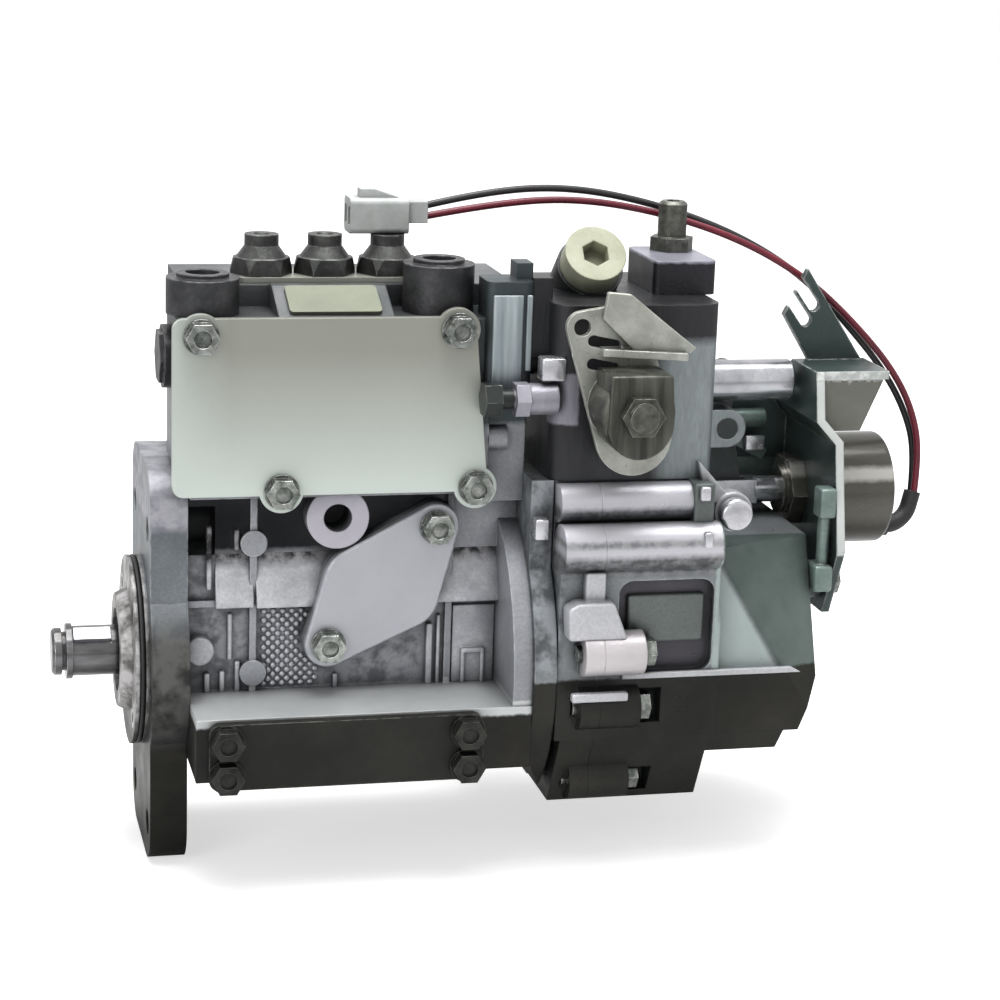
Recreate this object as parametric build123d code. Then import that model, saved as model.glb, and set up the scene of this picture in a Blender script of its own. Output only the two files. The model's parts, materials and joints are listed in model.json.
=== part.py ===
"""Three-cylinder in-line diesel injection pump with governor, speed lever, cable bracket and stop solenoid.

Millimetres. X runs along the camshaft from the drive end to the governor, -Y is the side with the covers,
+Z is up.
The origin is on the camshaft line, at the face of the mounting flange that sits against the engine.
"""
from build123d import *
from math import atan2, cos, degrees, hypot, radians, sin, tan
import os

# ---- Fits and common hardware ----
slide_gap = 0.05          # radial clearance of shafts and guides that move
seat_gap = 0.03           # radial clearance of pieces pressed or screwed home
free_gap = 0.3            # room between pieces that pass each other
shaft_room = 2.0          # room round a shaft where nothing guides it
lap = 1.0                 # how far solids of one piece run into each other, and a cut runs past a face
m6_r = 3.0                # thread of the cover screws
m6_head_r = 5.0
m6_head_h = 4.5
m6_washer_r = 6.2
m6_washer_t = 1.2
m6_plain_head_af = 9.0    # heads without a washer
m6_spot_room = 1.0        # room round a plain head
m6_grip = 9.0             # how deep a cover screw goes into its boss
m5_r = 2.5                # screws of the bearing retainer
m5_head_r = 4.0
m5_head_h = 5.0

# ---- Length of the pump body; what stands to the right of it is placed from its end ----
flange_t = 13.0
body_len = 118.0
body_x1 = flange_t + body_len

# ---- Mounting flange and drive end ----
flange_h = 144.0
flange_w = 64.0
flange_corner_r = 14.0
flange_belly_r = 41.0
pilot_r = 34.0
pilot_len = 5.0
nose_boss_r = 22.4
nose_boss_len = 4.0
nose_boss_bevel = 2.0
flange_hole_r = 4.5
flange_hole_span_y = 44.0
flange_hole_top_z = 50.0
flange_hole_low_z = -58.0
retainer_screw_ring_r = 27.5
retainer_screw_count = 4
retainer_screw_len = 22.0
o_ring_r = 1.1

# ---- Camshaft and its bearings ----
drive_r = 9.0
drive_end_x = -32.0
drive_collar_r = 8.5
drive_collar_len = 3.5
drive_groove_r = 7.0
drive_groove_len = 1.5
drive_ring_r = 10.0
drive_ring_len = 2.2
shaft_r = 10.0
shoulder_r = 12.0
bearing_r = 21.0
bearing_w = 12.0
bearing_race_t = 2.5
bearing_ball_count = 9
front_bearing_x = -1.0
rear_bearing_in = 2.0     # from the rear bearing to the end of the body
seal_r = 15.0
seal_w = 5.0
seal_gap = 1.0            # from the seal to the bearing
key_w = 5.0
key_len = 13.0
key_proud = 2.2
key_deep = 3.0
key_turn = 40.0           # degrees from straight up towards the covers
cam_base_r = 12.0
cam_lift = 9.0
cam_nose_r = 4.0
cam_w = 10.0
cam_phase = 120.0
carrier_seat_r = 8.0
sleeve_journal_r = 6.0
journal_end_x = body_x1 + 57.0
slide_step = 3.0          # shoulders beside the bearings
drive_chamfer = 1.0

# ---- Pumping elements ----
element_count = 3
element_pitch = 22.4
first_element_x = 42.0
roller_r = 8.0
roller_w = 9.0
roller_pin_r = 3.0
tappet_r = 10.5
tappet_len = 36.0
tappet_fork_w = 9.6
tappet_skirt = 4.0        # the tappet reaches this far below the roller's axis
tappet_pin_inset = 1.5
spring_wire_r = 1.1
spring_coil_r = 7.2
spring_turns = 6
barrel_r = 7.0
barrel_head_r = 9.0
barrel_head_t = 4.0
barrel_low_z = 97.0
barrel_top_z = 126.0
plunger_r = 3.5
plunger_foot_r = 5.5
plunger_foot_t = 2.0
sleeve_r = 9.5
sleeve_h = 12.0
sleeve_arm_r = 3.0        # round end in the rack
sleeve_arm_w = 3.0
sleeve_arm_reach = 16.0   # from the plunger's axis to the rack's axis
vane_low_z = 91.5
vane_h = 3.0
vane_t = 4.0
vane_inset = 2.0          # the vane ends this far inside the sleeve
sleeve_skirt = 2.0        # the sleeve reaches this far below the vane
plunger_top_z = 121.0
helix_h = 9.0
helix_land = 2.0
valve_seat_r = 8.4
valve_seat_t = 5.0
valve_stem_r = 3.0
valve_stem_len = 12.0
valve_cone_h = 2.0
valve_cone_lip = 0.8
valve_guide_r = 2.0
holder_thread_r = 8.9
holder_hex_af = 19.0
holder_hex_h = 6.0
holder_cone_h = 4.0
holder_neck_r = 6.0
holder_top_z = 150.0
holder_bore_r = 4.5
holder_outlet_r = 1.2
holder_seat_r = 3.2
holder_seat_tip_r = 0.4
holder_hex_low_spare = 1.8   # the hexagon's corners are turned off to this much past its flats, below
holder_hex_top_spare = 0.4   # and above
holder_cone_inset = 0.6
holder_bore_end = 2.0        # the wide bore stops this far under the neck
lock_plate_t = 2.0
lock_plate_w = 19.0
lock_plate_end = 10.0
lock_plate_corner_r = 3.0

# ---- Pump body ----
body_left_x = 8.5         # the front of the upper body reaches over the flange this near to its face
over_flange_gap = 2.0
body_right_x = 117.0      # right end of the full-depth upper body
cam_wall_y = -26.0
cam_back_y = 30.0
cam_wall_t = 4.0
base_front_y = -58.0
base_back_y = 34.0
base_top_z = -8.5
base_low_z = -31.0
upper_front_y = -37.5
upper_back_y = 34.0
upper_low_z = 64.0
step_z = 126.0            # top of the front step that carries the fuel eyes
step_back_y = -12.5
body_top_z = 134.0
end_wall_t = 11.0
rear_wall_t = 18.0
chamber_low_z = 66.0
chamber_top_z = 116.0
chamber_back_y = 14.0
chamber_front_wall_t = 4.5
chamber_left_x = 26.0
chamber_right_x = 105.0
cam_chamber_top_z = 22.2
joint_flange_r = 58.0
joint_flange_t = 7.0
column_w = 16.5           # box beside the side cover, next to the governor
column_front_y = -40.5
column_back_y = -23.0
column_round = 3.0
column_low_z = 96.0
column_top_z = 139.0
column_horn_w = 5.7       # upright horn on the column, next to the governor
column_horn_d = 10.0
column_horn_z = 145.0
oil_boss_x = 64.7
oil_boss_z = 55.6
oil_boss_r = 11.0
oil_boss_face_y = -35.0
oil_hole_r = 5.0
oil_hole_len = 14.0
rib_w = 2.4
rib_h = 2.2
disc_r = 4.7
disc_h = 3.2
disc_rib_x = 36.3
disc_low_z = -1.6
disc_high_z = 45.6
level_rib_z = 24.0
right_rib_x = 106.5
stub_boss_r = 4.5
stub_boss_z = 83.0
stub_boss_len = 7.0
joint_inset = 4.0         # the right end of the body is set back this far
nut_pocket_r = 9.5        # room behind the flange for its nuts
nut_pocket_len = 10.0
joint_screw_grip = 6.5

# ---- Covers ----
side_cover_t = 2.5
gasket_t = 0.8
side_cover_left_x = 6.5
side_cover_right_top_x = 110.5
side_cover_right_low_x = 116.5
side_cover_low_z = 65.5
side_cover_top_z = 127.0
side_cover_corner_r = 4.0
ear_r = 7.6
ear_step = 1.0            # a cast boss is this much smaller than its ear
side_screw_left_in = 9.6
side_screw_left_drop = 6.0
side_screw_right_in = 6.0
side_screw_right_drop = 4.5
side_screw_low_in = 4.5
side_screw_low_rise = 1.5
cover_window_edge = 8.5
oval_low = (61.8, 9.9)    # X and Z of the two screws
oval_high = (99.8, 51.7)
oval_t = 4.0
oval_end_r = 8.2
oval_bellies = ((72.5, 32.3), (89.0, 27.0))   # centres of its two broad sides
oval_belly_r = 12.5
oval_pad_y = -31.0
oval_port_r = 11.0
oval_port_deep = 9.0
oval_chamfer = 0.6
sump_cover_t = 3.5
sump_cover_left_x = 17.0
sump_cover_right_x = 113.0
sump_cover_low_z = -33.0
sump_cover_top_z = -9.3
sump_screw_in = 6.0
sump_rim = 7.5
sump_screw_low_z = -27.5

# ---- Control rack ----
rack_r = 4.0
rack_z = 110.0
rack_left_x = 12.0
rack_travel = 5.0
rack_fork_w = 16.0
rack_fork_h = 5.5
rack_fork_d = 10.0
rack_fork_web = 1.5
rack_fork_play = 0.4      # each side of a sleeve arm's round end
rack_head_w = 23.0
rack_head_t = 6.0
rack_head_h = 14.0
rack_head_floor = 2.0
rack_cap_r = 11.0
rack_cap_h = 4.5
rack_cap_af = 17.0
rack_cap_thread_r = 7.5
rack_cap_collar_t = 3.0
rack_end_room = 1.0       # between the rack at full travel and the end of its hollow

# ---- Top of the body ----
eye_r = 12.5
eye_bore_r = 6.0
inlet_eye_x = 18.7
inlet_eye_y = -22.5
inlet_eye_h = 12.5
outlet_eye_x = 101.0
outlet_eye_y = -21.5
outlet_eye_h = 17.0
eye_rim_r = 9.0
eye_rim_t = 1.6
eye_spigot_len = 6.0
eye_spigot_wall = 2.0
plate_left_x = 47.0
plate_right_x = 79.0
name_plate_t = 1.2
name_plate_margin = 1.6
plate_bed_margin = 4.0
name_plate_low_z = 126.5
name_plate_low_y = -36.0
name_plate_high_y = -18.0
name_plate_high_z = 134.5

# ---- Governor castings ----
seam_x = body_x1 + 23.0  # joint between governor housing and governor cover
gov_flange_r = 60.0
gov_flange_t = 8.0
gov_round_r = 52.0
gov_cavity_r = 46.0
gov_front_y = -58.0
gov_back_y = 46.0
gov_edge_z = -22.0
gov_shoulder_z = 44.0
gov_deck_z = 70.0
gov_deck_front_y = -46.0
gov_deck_back_y = 25.0
gov_keel_z = -49.5
gov_toe_land = 1.0        # flat part of the housing's underside, next to the pump
gov_toe_len = 10.0        # from the pump body to the foot of the rising toe
gov_toe_wall = 6.5        # upright thickness of the toe's sloping wall
gov_keel_front_y = -44.0
gov_keel_back_y = 34.0
keel_inset = 2.0
cover_right_x = body_x1 + 108.0
cover_low_z = -32.0
cover_keel_right_x = body_x1 + 66.0
cover_taper_x = body_x1 + 68.0
cover_nose_drop = 10.0
recess_left_x = body_x1 + 30.0
recess_right_x = body_x1 + 65.0
recess_low_z = 2.0
recess_high_z = 36.0
recess_deep = 4.0
recess_corner_r = 5.0
upper_tube_r = 6.8
upper_tube_y = -49.5
upper_tube_z = 62.8
lower_tube_r = 8.6
lower_tube_y = -56.0
lower_tube_z = 48.0
tube_left_x = body_x1 + 8.5
upper_tube_right_x = body_x1 + 59.0
lower_tube_right_x = body_x1 + 66.0
lobe_r = 8.0
lobe_t = 7.0
lobe_screws = ((-61.0, 11.0), (-57.0, -10.0), (-46.0, -40.0), (32.0, -45.0), (50.0, 16.0), (31.0, 59.0))
cover_lobe_len = 15.0
lobe_screw_bite = 9.0     # how deep the seam screws go into the housing
foot_boss_r = 7.0
foot_boss_len = 8.0
foot_z = 25.0
foot_front_y = -25.0
foot_back_y = 16.0
joint_screw_ring_r = 38.0
joint_screw_turns = (55.0, 125.0, 215.0, 325.0)
lever_way_room = 4.0
cavity_end_x = body_x1 + 69.0
gov_web_t = 4.0
gov_cover_wall = 4.5
cover_end_step = 5.0
cover_foot_front_y = -48.0
cover_heel_z = -2.0       # the underside starts to rise below this at the free end
heel_wall = 11.0          # upright thickness of the wall over the rising underside
spring_room_front_y = -30.0
spring_room_low_z = -26.0
spring_room_wall = 6.0
cover_turn_y = 26.0
cover_slope_x = body_x1 + 95.0
fulcrum_seat = 4.0

# ---- Upper governor case ----
case_left_x = body_x1 + 6.0
case_right_x = body_x1 + 66.0
case_front_y = -48.0
case_back_y = 25.0
case_top_z = 132.0
case_corner_r = 7.0
case_wall = 5.0
case_horn_y = -38.0        # upright horn at the front of the case, next to the pump
case_horn_d = 12.0
case_horn_low_z = 112.0
case_horn_z = 140.0
case_lug_len = 9.0
case_lug_r = 5.5
top_block_x0 = body_x1 + 47.0
top_block_x1 = body_x1 + 70.0
top_block_y0 = -27.0
top_block_y1 = 9.0
top_block_h = 12.0
top_block_corner_r = 3.0
post_x = body_x1 + 61.0
post_y = 0.0
post_r = 5.2
post_h = 18.0
post_hex_af = 14.0
post_hex_h = 5.0
post_bore_r = 2.5
post_thread_r = 4.2
post_thread_len = 8.0
post_chamfer = 1.0
cap_x = body_x1 + 25.5
cap_face = (-25.0, 146.6) # Y and Z of the middle of the cap's face
cap_r = 11.0
cap_h = 9.0
cap_tilt = 40.0           # degrees of the cap's axis above level, towards the covers
cap_hex_af = 9.0
cap_hex_deep = 6.0
cap_boss_r = 12.0
cap_boss_len = 17.0
load_screw_z = 99.5
load_screw_y = -47.5
load_screw_r = 3.5
load_screw_left_x = body_x1 - 19.0
load_screw_head_af = 11.0
load_screw_head_h = 6.0
load_nut_t = 5.0
limiter_r = 7.8
limiter_y = -10.0
limiter_z = 97.5
limiter_end_x = body_x1 + 106.0
limiter_hex_len = 6.0
limiter_thread_r = 6.3
limiter_tube_r = 7.5
limiter_chamfer = 0.8
rack_collar_r = 8.0
stop_lug_y0 = -16.0
stop_lug_y1 = -1.5
stop_lug_root = 2.0

# ---- Speed lever ----
lever_x = body_x1 + 28.0
lever_z = 100.0
lever_shaft_r = 5.0
lever_boss_r = 10.0
lever_boss_len = 9.0
lever_plate_t = 2.5
lever_hub_r = 13.0
lever_hub_len = 19.0
lever_nut_r = 6.5
lever_nut_h = 5.0
lever_shaft_proud = 1.5
lever_foot_r = 13.5
lever_foot_drop = 12.0
lever_arm_top = 32.0
lever_cable_hole_r = 3.0
lever_foot_shift = 4.0
lever_reach_left = 16.0
lever_reach_right = 2.0
lever_corner_r = 5.5
lever_window_left = 8.0
lever_window_drops = (11.0, 19.0)
lever_window_len = 12.0
lever_window_w = 4.0
lever_window_turn = 12.0   # degrees the windows lean down to the right
lever_top_slope = 3.0
lever_wing_rise = 17.0
lever_wing_left = 9.0
lever_wing_right = 18.0
lever_wing_deep = 15.0
lever_wing_tip = 5.5
lever_hub_round = 2.5
inner_arm_len = 22.0
inner_arm_rise = 4.0
inner_arm_root_r = 7.0
inner_arm_tip_r = 5.0
inner_arm_t = 4.0

# ---- Governor works ----
carrier_t = 5.0
carrier_gap = 0.5          # from the pump body to the flyweight carrier
carrier_r = 26.0
carrier_room = 2.5         # around the flyweight carrier in the housing's web
weight_pin_ring_r = 24.0
weight_pin_r = 2.0
weight_pivot_x = body_x1 + 15.0
weight_w = 20.0
weight_toe_reach = 13.0
weight_toe_t = 3.0
weight_toe_root_r = 2.8
weight_mass_len = 14.0
weight_mass_rise = 8.0    # from the pin to the middle of the mass's outer edge
weight_mass_lean = 1.0
weight_eye_r = 4.0
weight_corner_r = 3.0
carrier_lug_t = 4.0
carrier_lug_in = 3.0      # the lugs reach past the pins by this, inwards
carrier_lug_out = 2.0     # and outwards
thrust_flange_r = 13.0
thrust_flange_t = 3.0
thrust_rim_bevel = 1.5      # on the toes' side
thrust_x = body_x1 + 20.0
thrust_hub_r = 10.0
thrust_hub_len = 28.0
thrust_groove_r = 8.0
thrust_groove_w = 5.0
fulcrum_x = body_x1 + 43.0
fulcrum_z = 50.0
fulcrum_r = 4.0
fulcrum_span = 36.0
lever_link_t = 3.5
lever_link_w = 10.0
lever_link_boss = 2.0     # the link is this much rounder at the fulcrum
link_pin_inset = 1.0
link_pin_r = 3.5
fork_tine_w = 4.0
fork_tine_t = 3.2
fork_tine_low = 4.0       # below the shaft's axis
fork_bar_z = 17.0
fork_bar_h = 6.0
link_y = -5.5            # back face of the lever link

# ---- Cable bracket ----
sheet_t = 3.0
shelf_z = 104.0
shelf_left_x = body_x1 + 109.0
shelf_right_x = body_x1 + 137.0
shelf_front_y = -30.0
shelf_back_y = -4.0
jog_z_high = 86.0
jog_z_low = 78.0
plate_x = body_x1 + 116.0
bracket_low_z = 14.0
bracket_back_y = 24.0
bracket_toe_y = -44.0
bracket_toe_z = 40.0
bracket_waist_y = -38.0
bracket_waist_z = 66.0
bracket_toe_round = 12.0   # how far back the low front corner stands from the toe
arm_y = 17.0              # front face of the arm behind the stop linkage
arm_low_z = 62.0
arm_high_z = 95.0
web_drop = 22.0
web_foot_w = 8.0
web_end_in = 2.0
jog_lift = 1.0            # the jog's outer side is this much higher
fork_rise = 34.0
fork_lean = 25.0
fork_w = 21.0
fork_step = 17.0
fork_slot_w = 4.6
fork_slot_len = 12.0

# ---- Stop solenoid ----
solenoid_r = 21.0
solenoid_len = 29.0
solenoid_round = 2.0
solenoid_y = 2.0
solenoid_z = 53.0
solenoid_nose_r = 9.0
solenoid_nut_r = 12.0
solenoid_nut_t = 6.0
solenoid_nose_len = 11.0
plunger_rod_r = 5.0
solenoid_stroke = 8.0
clevis_w = 9.0
clevis_gap = 3.6
clevis_left = 7.0         # from the pin to the open end
clevis_room = 6.3         # from the pin to the bottom of the gap
clevis_right = 10.5
clevis_pin_x = body_x1 + 88.5
clevis_pin_r = 2.5
stop_pivot_x = body_x1 + 81.0
stop_pivot_z = 80.5
stop_shaft_r = 4.0
stop_lever_t = 3.0
stop_lever_w = 10.4
stop_boss_r = 7.0
stop_slot_room = 0.45
stop_arm_x = body_x1 + 84.0  # end of the hand arm
stop_arm_z = 99.0
stop_arm_hole_r = 2.2
stop_hand_r = 4.2
stop_spacer_r = 6.0
stop_shaft_proud = 2.0
solenoid_bore_end = 25.0
plunger_end_x = body_x1 + 131.0

# ---- Lead ----
wire_r = 1.3
sleeve_end_r = 3.2
sleeve_root_r = 4.2
can_end_x = plate_x + sheet_t + solenoid_len
sleeve_path = (
    (can_end_x, -3.0, 39.0), (can_end_x + 6.5, -3.0, 39.0), (can_end_x + 12.0, -1.5, 43.0),
    (can_end_x + 14.5, 0.0, 51.0),
)
plug_end_x = first_element_x + 59.0
lead_path = (
    (can_end_x + 14.5, 0.0, 51.0), (can_end_x + 16.5, 3.0, 66.0), (can_end_x + 12.5, 5.0, 82.0),
    (can_end_x + 3.0, 6.0, 98.0), (can_end_x - 14.0, 5.0, 116.0), (can_end_x - 33.0, 3.0, 133.0),
    (case_right_x + 24.0, 6.0, 147.5), (case_right_x - 6.0, 12.5, 157.5), (case_left_x + 20.0, 11.0, 163.5),
    (plug_end_x + 24.0, 7.0, 162.0), (plug_end_x, 4.0, 157.5),
)
plug_len = 28.0
plug_w = 13.0
plug_h = 12.5
plug_tail_len = 7.0
plug_tail_w = 10.0
plug_tail_h = 7.5
plug_latch_h = 3.0
plug_latch_in = 4.0       # from the free end
plug_latch_len = 5.0
plug_corner_r = 2.0
plug_slot_w = 3.2
plug_slot_deep = 9.0
sleeve_collar_len = 3.0
bend_share = 0.45
lead_spread = (
    (0.0, 1.6, 0.0), (-0.3, 1.6, 0.0), (-0.8, 1.5, -0.6), (-1.0, 1.6, -0.6), (-0.8, 1.7, -0.4),
    (-0.3, 1.8, 0.2), (0.0, 1.9, 0.6), (0.0, 1.9, 1.2), (0.0, 1.8, 1.8), (0.0, 1.6, 2.2), (0.0, 1.7, 1.6),
)

# ---- Worked out from the sizes above ----
body_x0 = flange_t
element_x = [first_element_x + i * element_pitch for i in range(element_count)]
rear_bearing_x = body_x1 - rear_bearing_in - bearing_w
ball_ring_r = (shaft_r + bearing_r) / 2
cam_top_r = cam_base_r + cam_lift
roller_z = cam_top_r + free_gap + roller_r
tappet_low_z = roller_z - tappet_skirt
tappet_top_z = tappet_low_z + tappet_len
spring_low_z = tappet_top_z + plunger_foot_t
spring_len = vane_low_z - sleeve_skirt - free_gap - spring_low_z
lock_top_z = body_top_z + lock_plate_t
rack_y = -sleeve_arm_reach
rack_head_x0 = fulcrum_x - rack_head_w / 2
rack_head_x1 = fulcrum_x + rack_head_w / 2
carrier_x = body_x1 + carrier_gap
sleeve_low_z = rack_z - sleeve_h / 2
FAR = 400.0               # longer than anything here, for cutting planes


# ---- Shapes used all over ----
def block(x0, x1, y0, y1, z0, z1):
    return Solid.make_box(x1 - x0, y1 - y0, z1 - z0, Plane(origin=(x0, y0, z0)))


def rod_x(x0, x1, y, z, r):
    return Solid.make_cylinder(r, x1 - x0, Plane(origin=(x0, y, z), z_dir=(1, 0, 0)))


def rod_y(y0, y1, x, z, r):
    return Solid.make_cylinder(r, y1 - y0, Plane(origin=(x, y0, z), z_dir=(0, 1, 0)))


def rod_z(z0, z1, x, y, r):
    return Solid.make_cylinder(r, z1 - z0, Plane(origin=(x, y, z0)))


def cone_z(z0, z1, x, y, r0, r1):
    return Solid.make_cone(r0, r1, z1 - z0, Plane(origin=(x, y, z0)))


def along_x(shape, x0, x1):
    """Extrude a drawing whose local axes are Y and Z."""
    plane = Plane(origin=(x0, 0, 0), x_dir=(0, 1, 0), z_dir=(1, 0, 0))
    return extrude(plane * shape, amount=x1 - x0)


def along_y(shape, y0, y1):
    """Extrude a drawing whose local axes are X and Z."""
    plane = Plane(origin=(0, y1, 0), x_dir=(1, 0, 0), z_dir=(0, -1, 0))
    return extrude(plane * shape, amount=y1 - y0)


def along_z(shape, z0, z1):
    return extrude(Plane(origin=(0, 0, z0)) * shape, amount=z1 - z0)


def outline(*points):
    return make_face(Polyline(*points, close=True))


def hull_of(*circles):
    """The outline round circles given as (u, v, r)."""
    edges = []
    for u, v, r in circles:
        edges += (Pos(u, v) * Circle(r)).edges()
    return make_hull(edges)


def rounded(u0, u1, v0, v1, r):
    return Pos((u0 + u1) / 2, (v0 + v1) / 2) * RectangleRounded(u1 - u0, v1 - v0, r)


def hexagon(af, u=0.0, v=0.0):
    return Pos(u, v) * RegularPolygon(af / 2, 6, major_radius=False)


def save(name, *solids):
    pieces = []
    for solid in solids:
        pieces += solid.solids()
    export_step(Compound(pieces), f"parts/{name}.step")


# ---- Hardware ----
def cover_screw(x, z, face_y, grip=m6_grip):
    """Hexagon flange screw with its washer, head towards -Y, bearing on face_y."""
    head_y = face_y - m6_washer_t
    washer = rod_y(head_y, face_y, x, z, m6_washer_r) - rod_y(head_y, face_y, x, z, m6_r + free_gap)
    head = along_y(hexagon(2 * m6_head_r, x, z), head_y - m6_head_h, head_y)
    dimple = rod_y(head_y - m6_head_h, head_y - m6_head_h + m6_washer_t, x, z, m6_r)
    shank = rod_y(head_y, face_y + grip, x, z, m6_r)
    return washer, head - dimple + shank


def screw_hole_y(x, z, face_y, depth, clearance=seat_gap):
    return rod_y(face_y, face_y + depth, x, z, m6_r + clearance)


def screw_x(y, z, face_x, grip, head_af):
    """Hexagon screw along X: its head bears on face_x from the +X side."""
    head = along_x(hexagon(head_af, y, z), face_x, face_x + m6_head_h)
    return head + rod_x(face_x - grip, face_x, y, z, m6_r)


def flange_holes():
    half = flange_hole_span_y / 2
    return [(y, z) for y in (-half, half) for z in (flange_hole_top_z, flange_hole_low_z)]


# ---- Mounting flange ----
def mounting_flange():
    sheet = rounded(-flange_w / 2, flange_w / 2, -flange_h / 2, flange_h / 2, flange_corner_r)
    flange = along_x(sheet + Circle(flange_belly_r), 0, flange_t)
    flange += rod_x(-pilot_len, 0, 0, 0, pilot_r)
    boss_x = -pilot_len - nose_boss_len
    flange += Solid.make_cone(
        nose_boss_r - nose_boss_bevel, nose_boss_r, nose_boss_len,
        Plane(origin=(boss_x, 0, 0), z_dir=(1, 0, 0)),
    )
    flange -= rod_x(front_bearing_x, flange_t, 0, 0, bearing_r + seat_gap)
    flange -= rod_x(boss_x, front_bearing_x, 0, 0, drive_r + shaft_room)
    flange -= rod_x(boss_x, front_bearing_x - seal_gap, 0, 0, seal_r + seat_gap)
    groove = rod_x(-pilot_len / 2 - o_ring_r, -pilot_len / 2 + o_ring_r, 0, 0, pilot_r + lap)
    flange -= groove - rod_x(-pilot_len, 0, 0, 0, pilot_r - 2 * o_ring_r)
    for y, z in flange_holes():
        flange -= rod_x(0, flange_t, y, z, flange_hole_r)
    for y, z in retainer_screws():
        flange -= rod_x(-pilot_len, flange_t, y, z, m5_r + free_gap)
        flange -= rod_x(-pilot_len, -pilot_len + m5_head_h, y, z, m5_head_r + free_gap)
    return flange


def retainer_screws():
    turns = [45 + 360 * i / retainer_screw_count for i in range(retainer_screw_count)]
    return [(retainer_screw_ring_r * cos(radians(a)), retainer_screw_ring_r * sin(radians(a))) for a in turns]


def flange_screws():
    """Socket-head screws that hold the flange to the pump body."""
    screws = []
    for y, z in retainer_screws():
        head = rod_x(-pilot_len, -pilot_len + m5_head_h, y, z, m5_head_r)
        socket = along_x(hexagon(m5_head_r, y, z), -pilot_len, -pilot_len + m5_head_h / 2)
        under_head_x = -pilot_len + m5_head_h
        screws.append(head - socket + rod_x(under_head_x, -pilot_len + retainer_screw_len, y, z, m5_r))
    return screws


def pilot_o_ring():
    middle = Plane(origin=(-pilot_len / 2, 0, 0), z_dir=(1, 0, 0))
    return Solid.make_torus(pilot_r - o_ring_r, o_ring_r - seat_gap, middle)


def bearing_outer_rings():
    rings = []
    for x in (front_bearing_x, rear_bearing_x):
        ring = rod_x(x, x + bearing_w, 0, 0, bearing_r)
        rings.append(ring - rod_x(x, x + bearing_w, 0, 0, bearing_r - bearing_race_t))
    return rings


def bearing_cores():
    """Inner rings and balls, which turn with the camshaft."""
    pieces = []
    ball_r = (bearing_r - shaft_r) / 2 - bearing_race_t - slide_gap
    for x in (front_bearing_x, rear_bearing_x):
        inner = rod_x(x, x + bearing_w, 0, 0, shaft_r + bearing_race_t)
        pieces.append(inner - rod_x(x, x + bearing_w, 0, 0, shaft_r + seat_gap))
        for i in range(bearing_ball_count):
            turn = radians(360 * i / bearing_ball_count)
            place = (x + bearing_w / 2, ball_ring_r * cos(turn), ball_ring_r * sin(turn))
            pieces.append(Solid.make_sphere(ball_r, Plane(origin=place)))
    return pieces


def shaft_oil_seal():
    x1 = front_bearing_x - seal_gap
    ring = rod_x(x1 - seal_w, x1, 0, 0, seal_r)
    return ring - rod_x(x1 - seal_w, x1, 0, 0, drive_r + slide_gap)


# ---- Camshaft ----
def cam_lobe(x, turn):
    nose = (0, cam_base_r + cam_lift - cam_nose_r, cam_nose_r)
    profile = hull_of((0, 0, cam_base_r), nose)
    return along_x(profile, x - cam_w / 2, x + cam_w / 2).rotate(Axis.X, turn)


def key_at_top(x0, x1, low_z, high_z, w):
    return block(x0, x1, -w / 2, w / 2, low_z, high_z).rotate(Axis.X, key_turn)


def key_span():
    x0 = drive_end_x + drive_collar_len + drive_groove_len + drive_ring_len
    return x0 + free_gap, x0 + free_gap + key_len


def camshaft():
    x = drive_end_x
    shaft = None
    seal_x = front_bearing_x - seal_gap
    steps = (
        (x + drive_collar_len, drive_collar_r),
        (x + drive_collar_len + drive_groove_len, drive_groove_r),
        (x + drive_collar_len + drive_groove_len + drive_ring_len, drive_ring_r),
        (seal_x, drive_r),
        (front_bearing_x + bearing_w, shaft_r),
        (front_bearing_x + bearing_w + slide_step, shoulder_r),
        (rear_bearing_x - slide_step, shaft_r),
        (rear_bearing_x, shoulder_r),
        (rear_bearing_x + bearing_w, shaft_r),
        (carrier_x + carrier_t, carrier_seat_r),
        (journal_end_x, sleeve_journal_r),
    )
    for x1, r in steps:
        piece = rod_x(x, x1, 0, 0, r)
        shaft = piece if shaft is None else shaft + piece
        x = x1
    for i, lobe_x in enumerate(element_x):
        shaft += cam_lobe(lobe_x, i * cam_phase)
    key_x0, key_x1 = key_span()
    shaft -= key_at_top(key_x0 - free_gap, key_x1 + free_gap, drive_r - key_deep, drive_r + lap, key_w)
    end_edges = shaft.edges().filter_by(GeomType.CIRCLE).sort_by(Axis.X)
    return chamfer(end_edges[0], drive_chamfer)


def camshaft_key():
    key_x0, key_x1 = key_span()
    return key_at_top(key_x0, key_x1, drive_r - key_deep, drive_r + key_proud, key_w - 2 * slide_gap)


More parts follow.
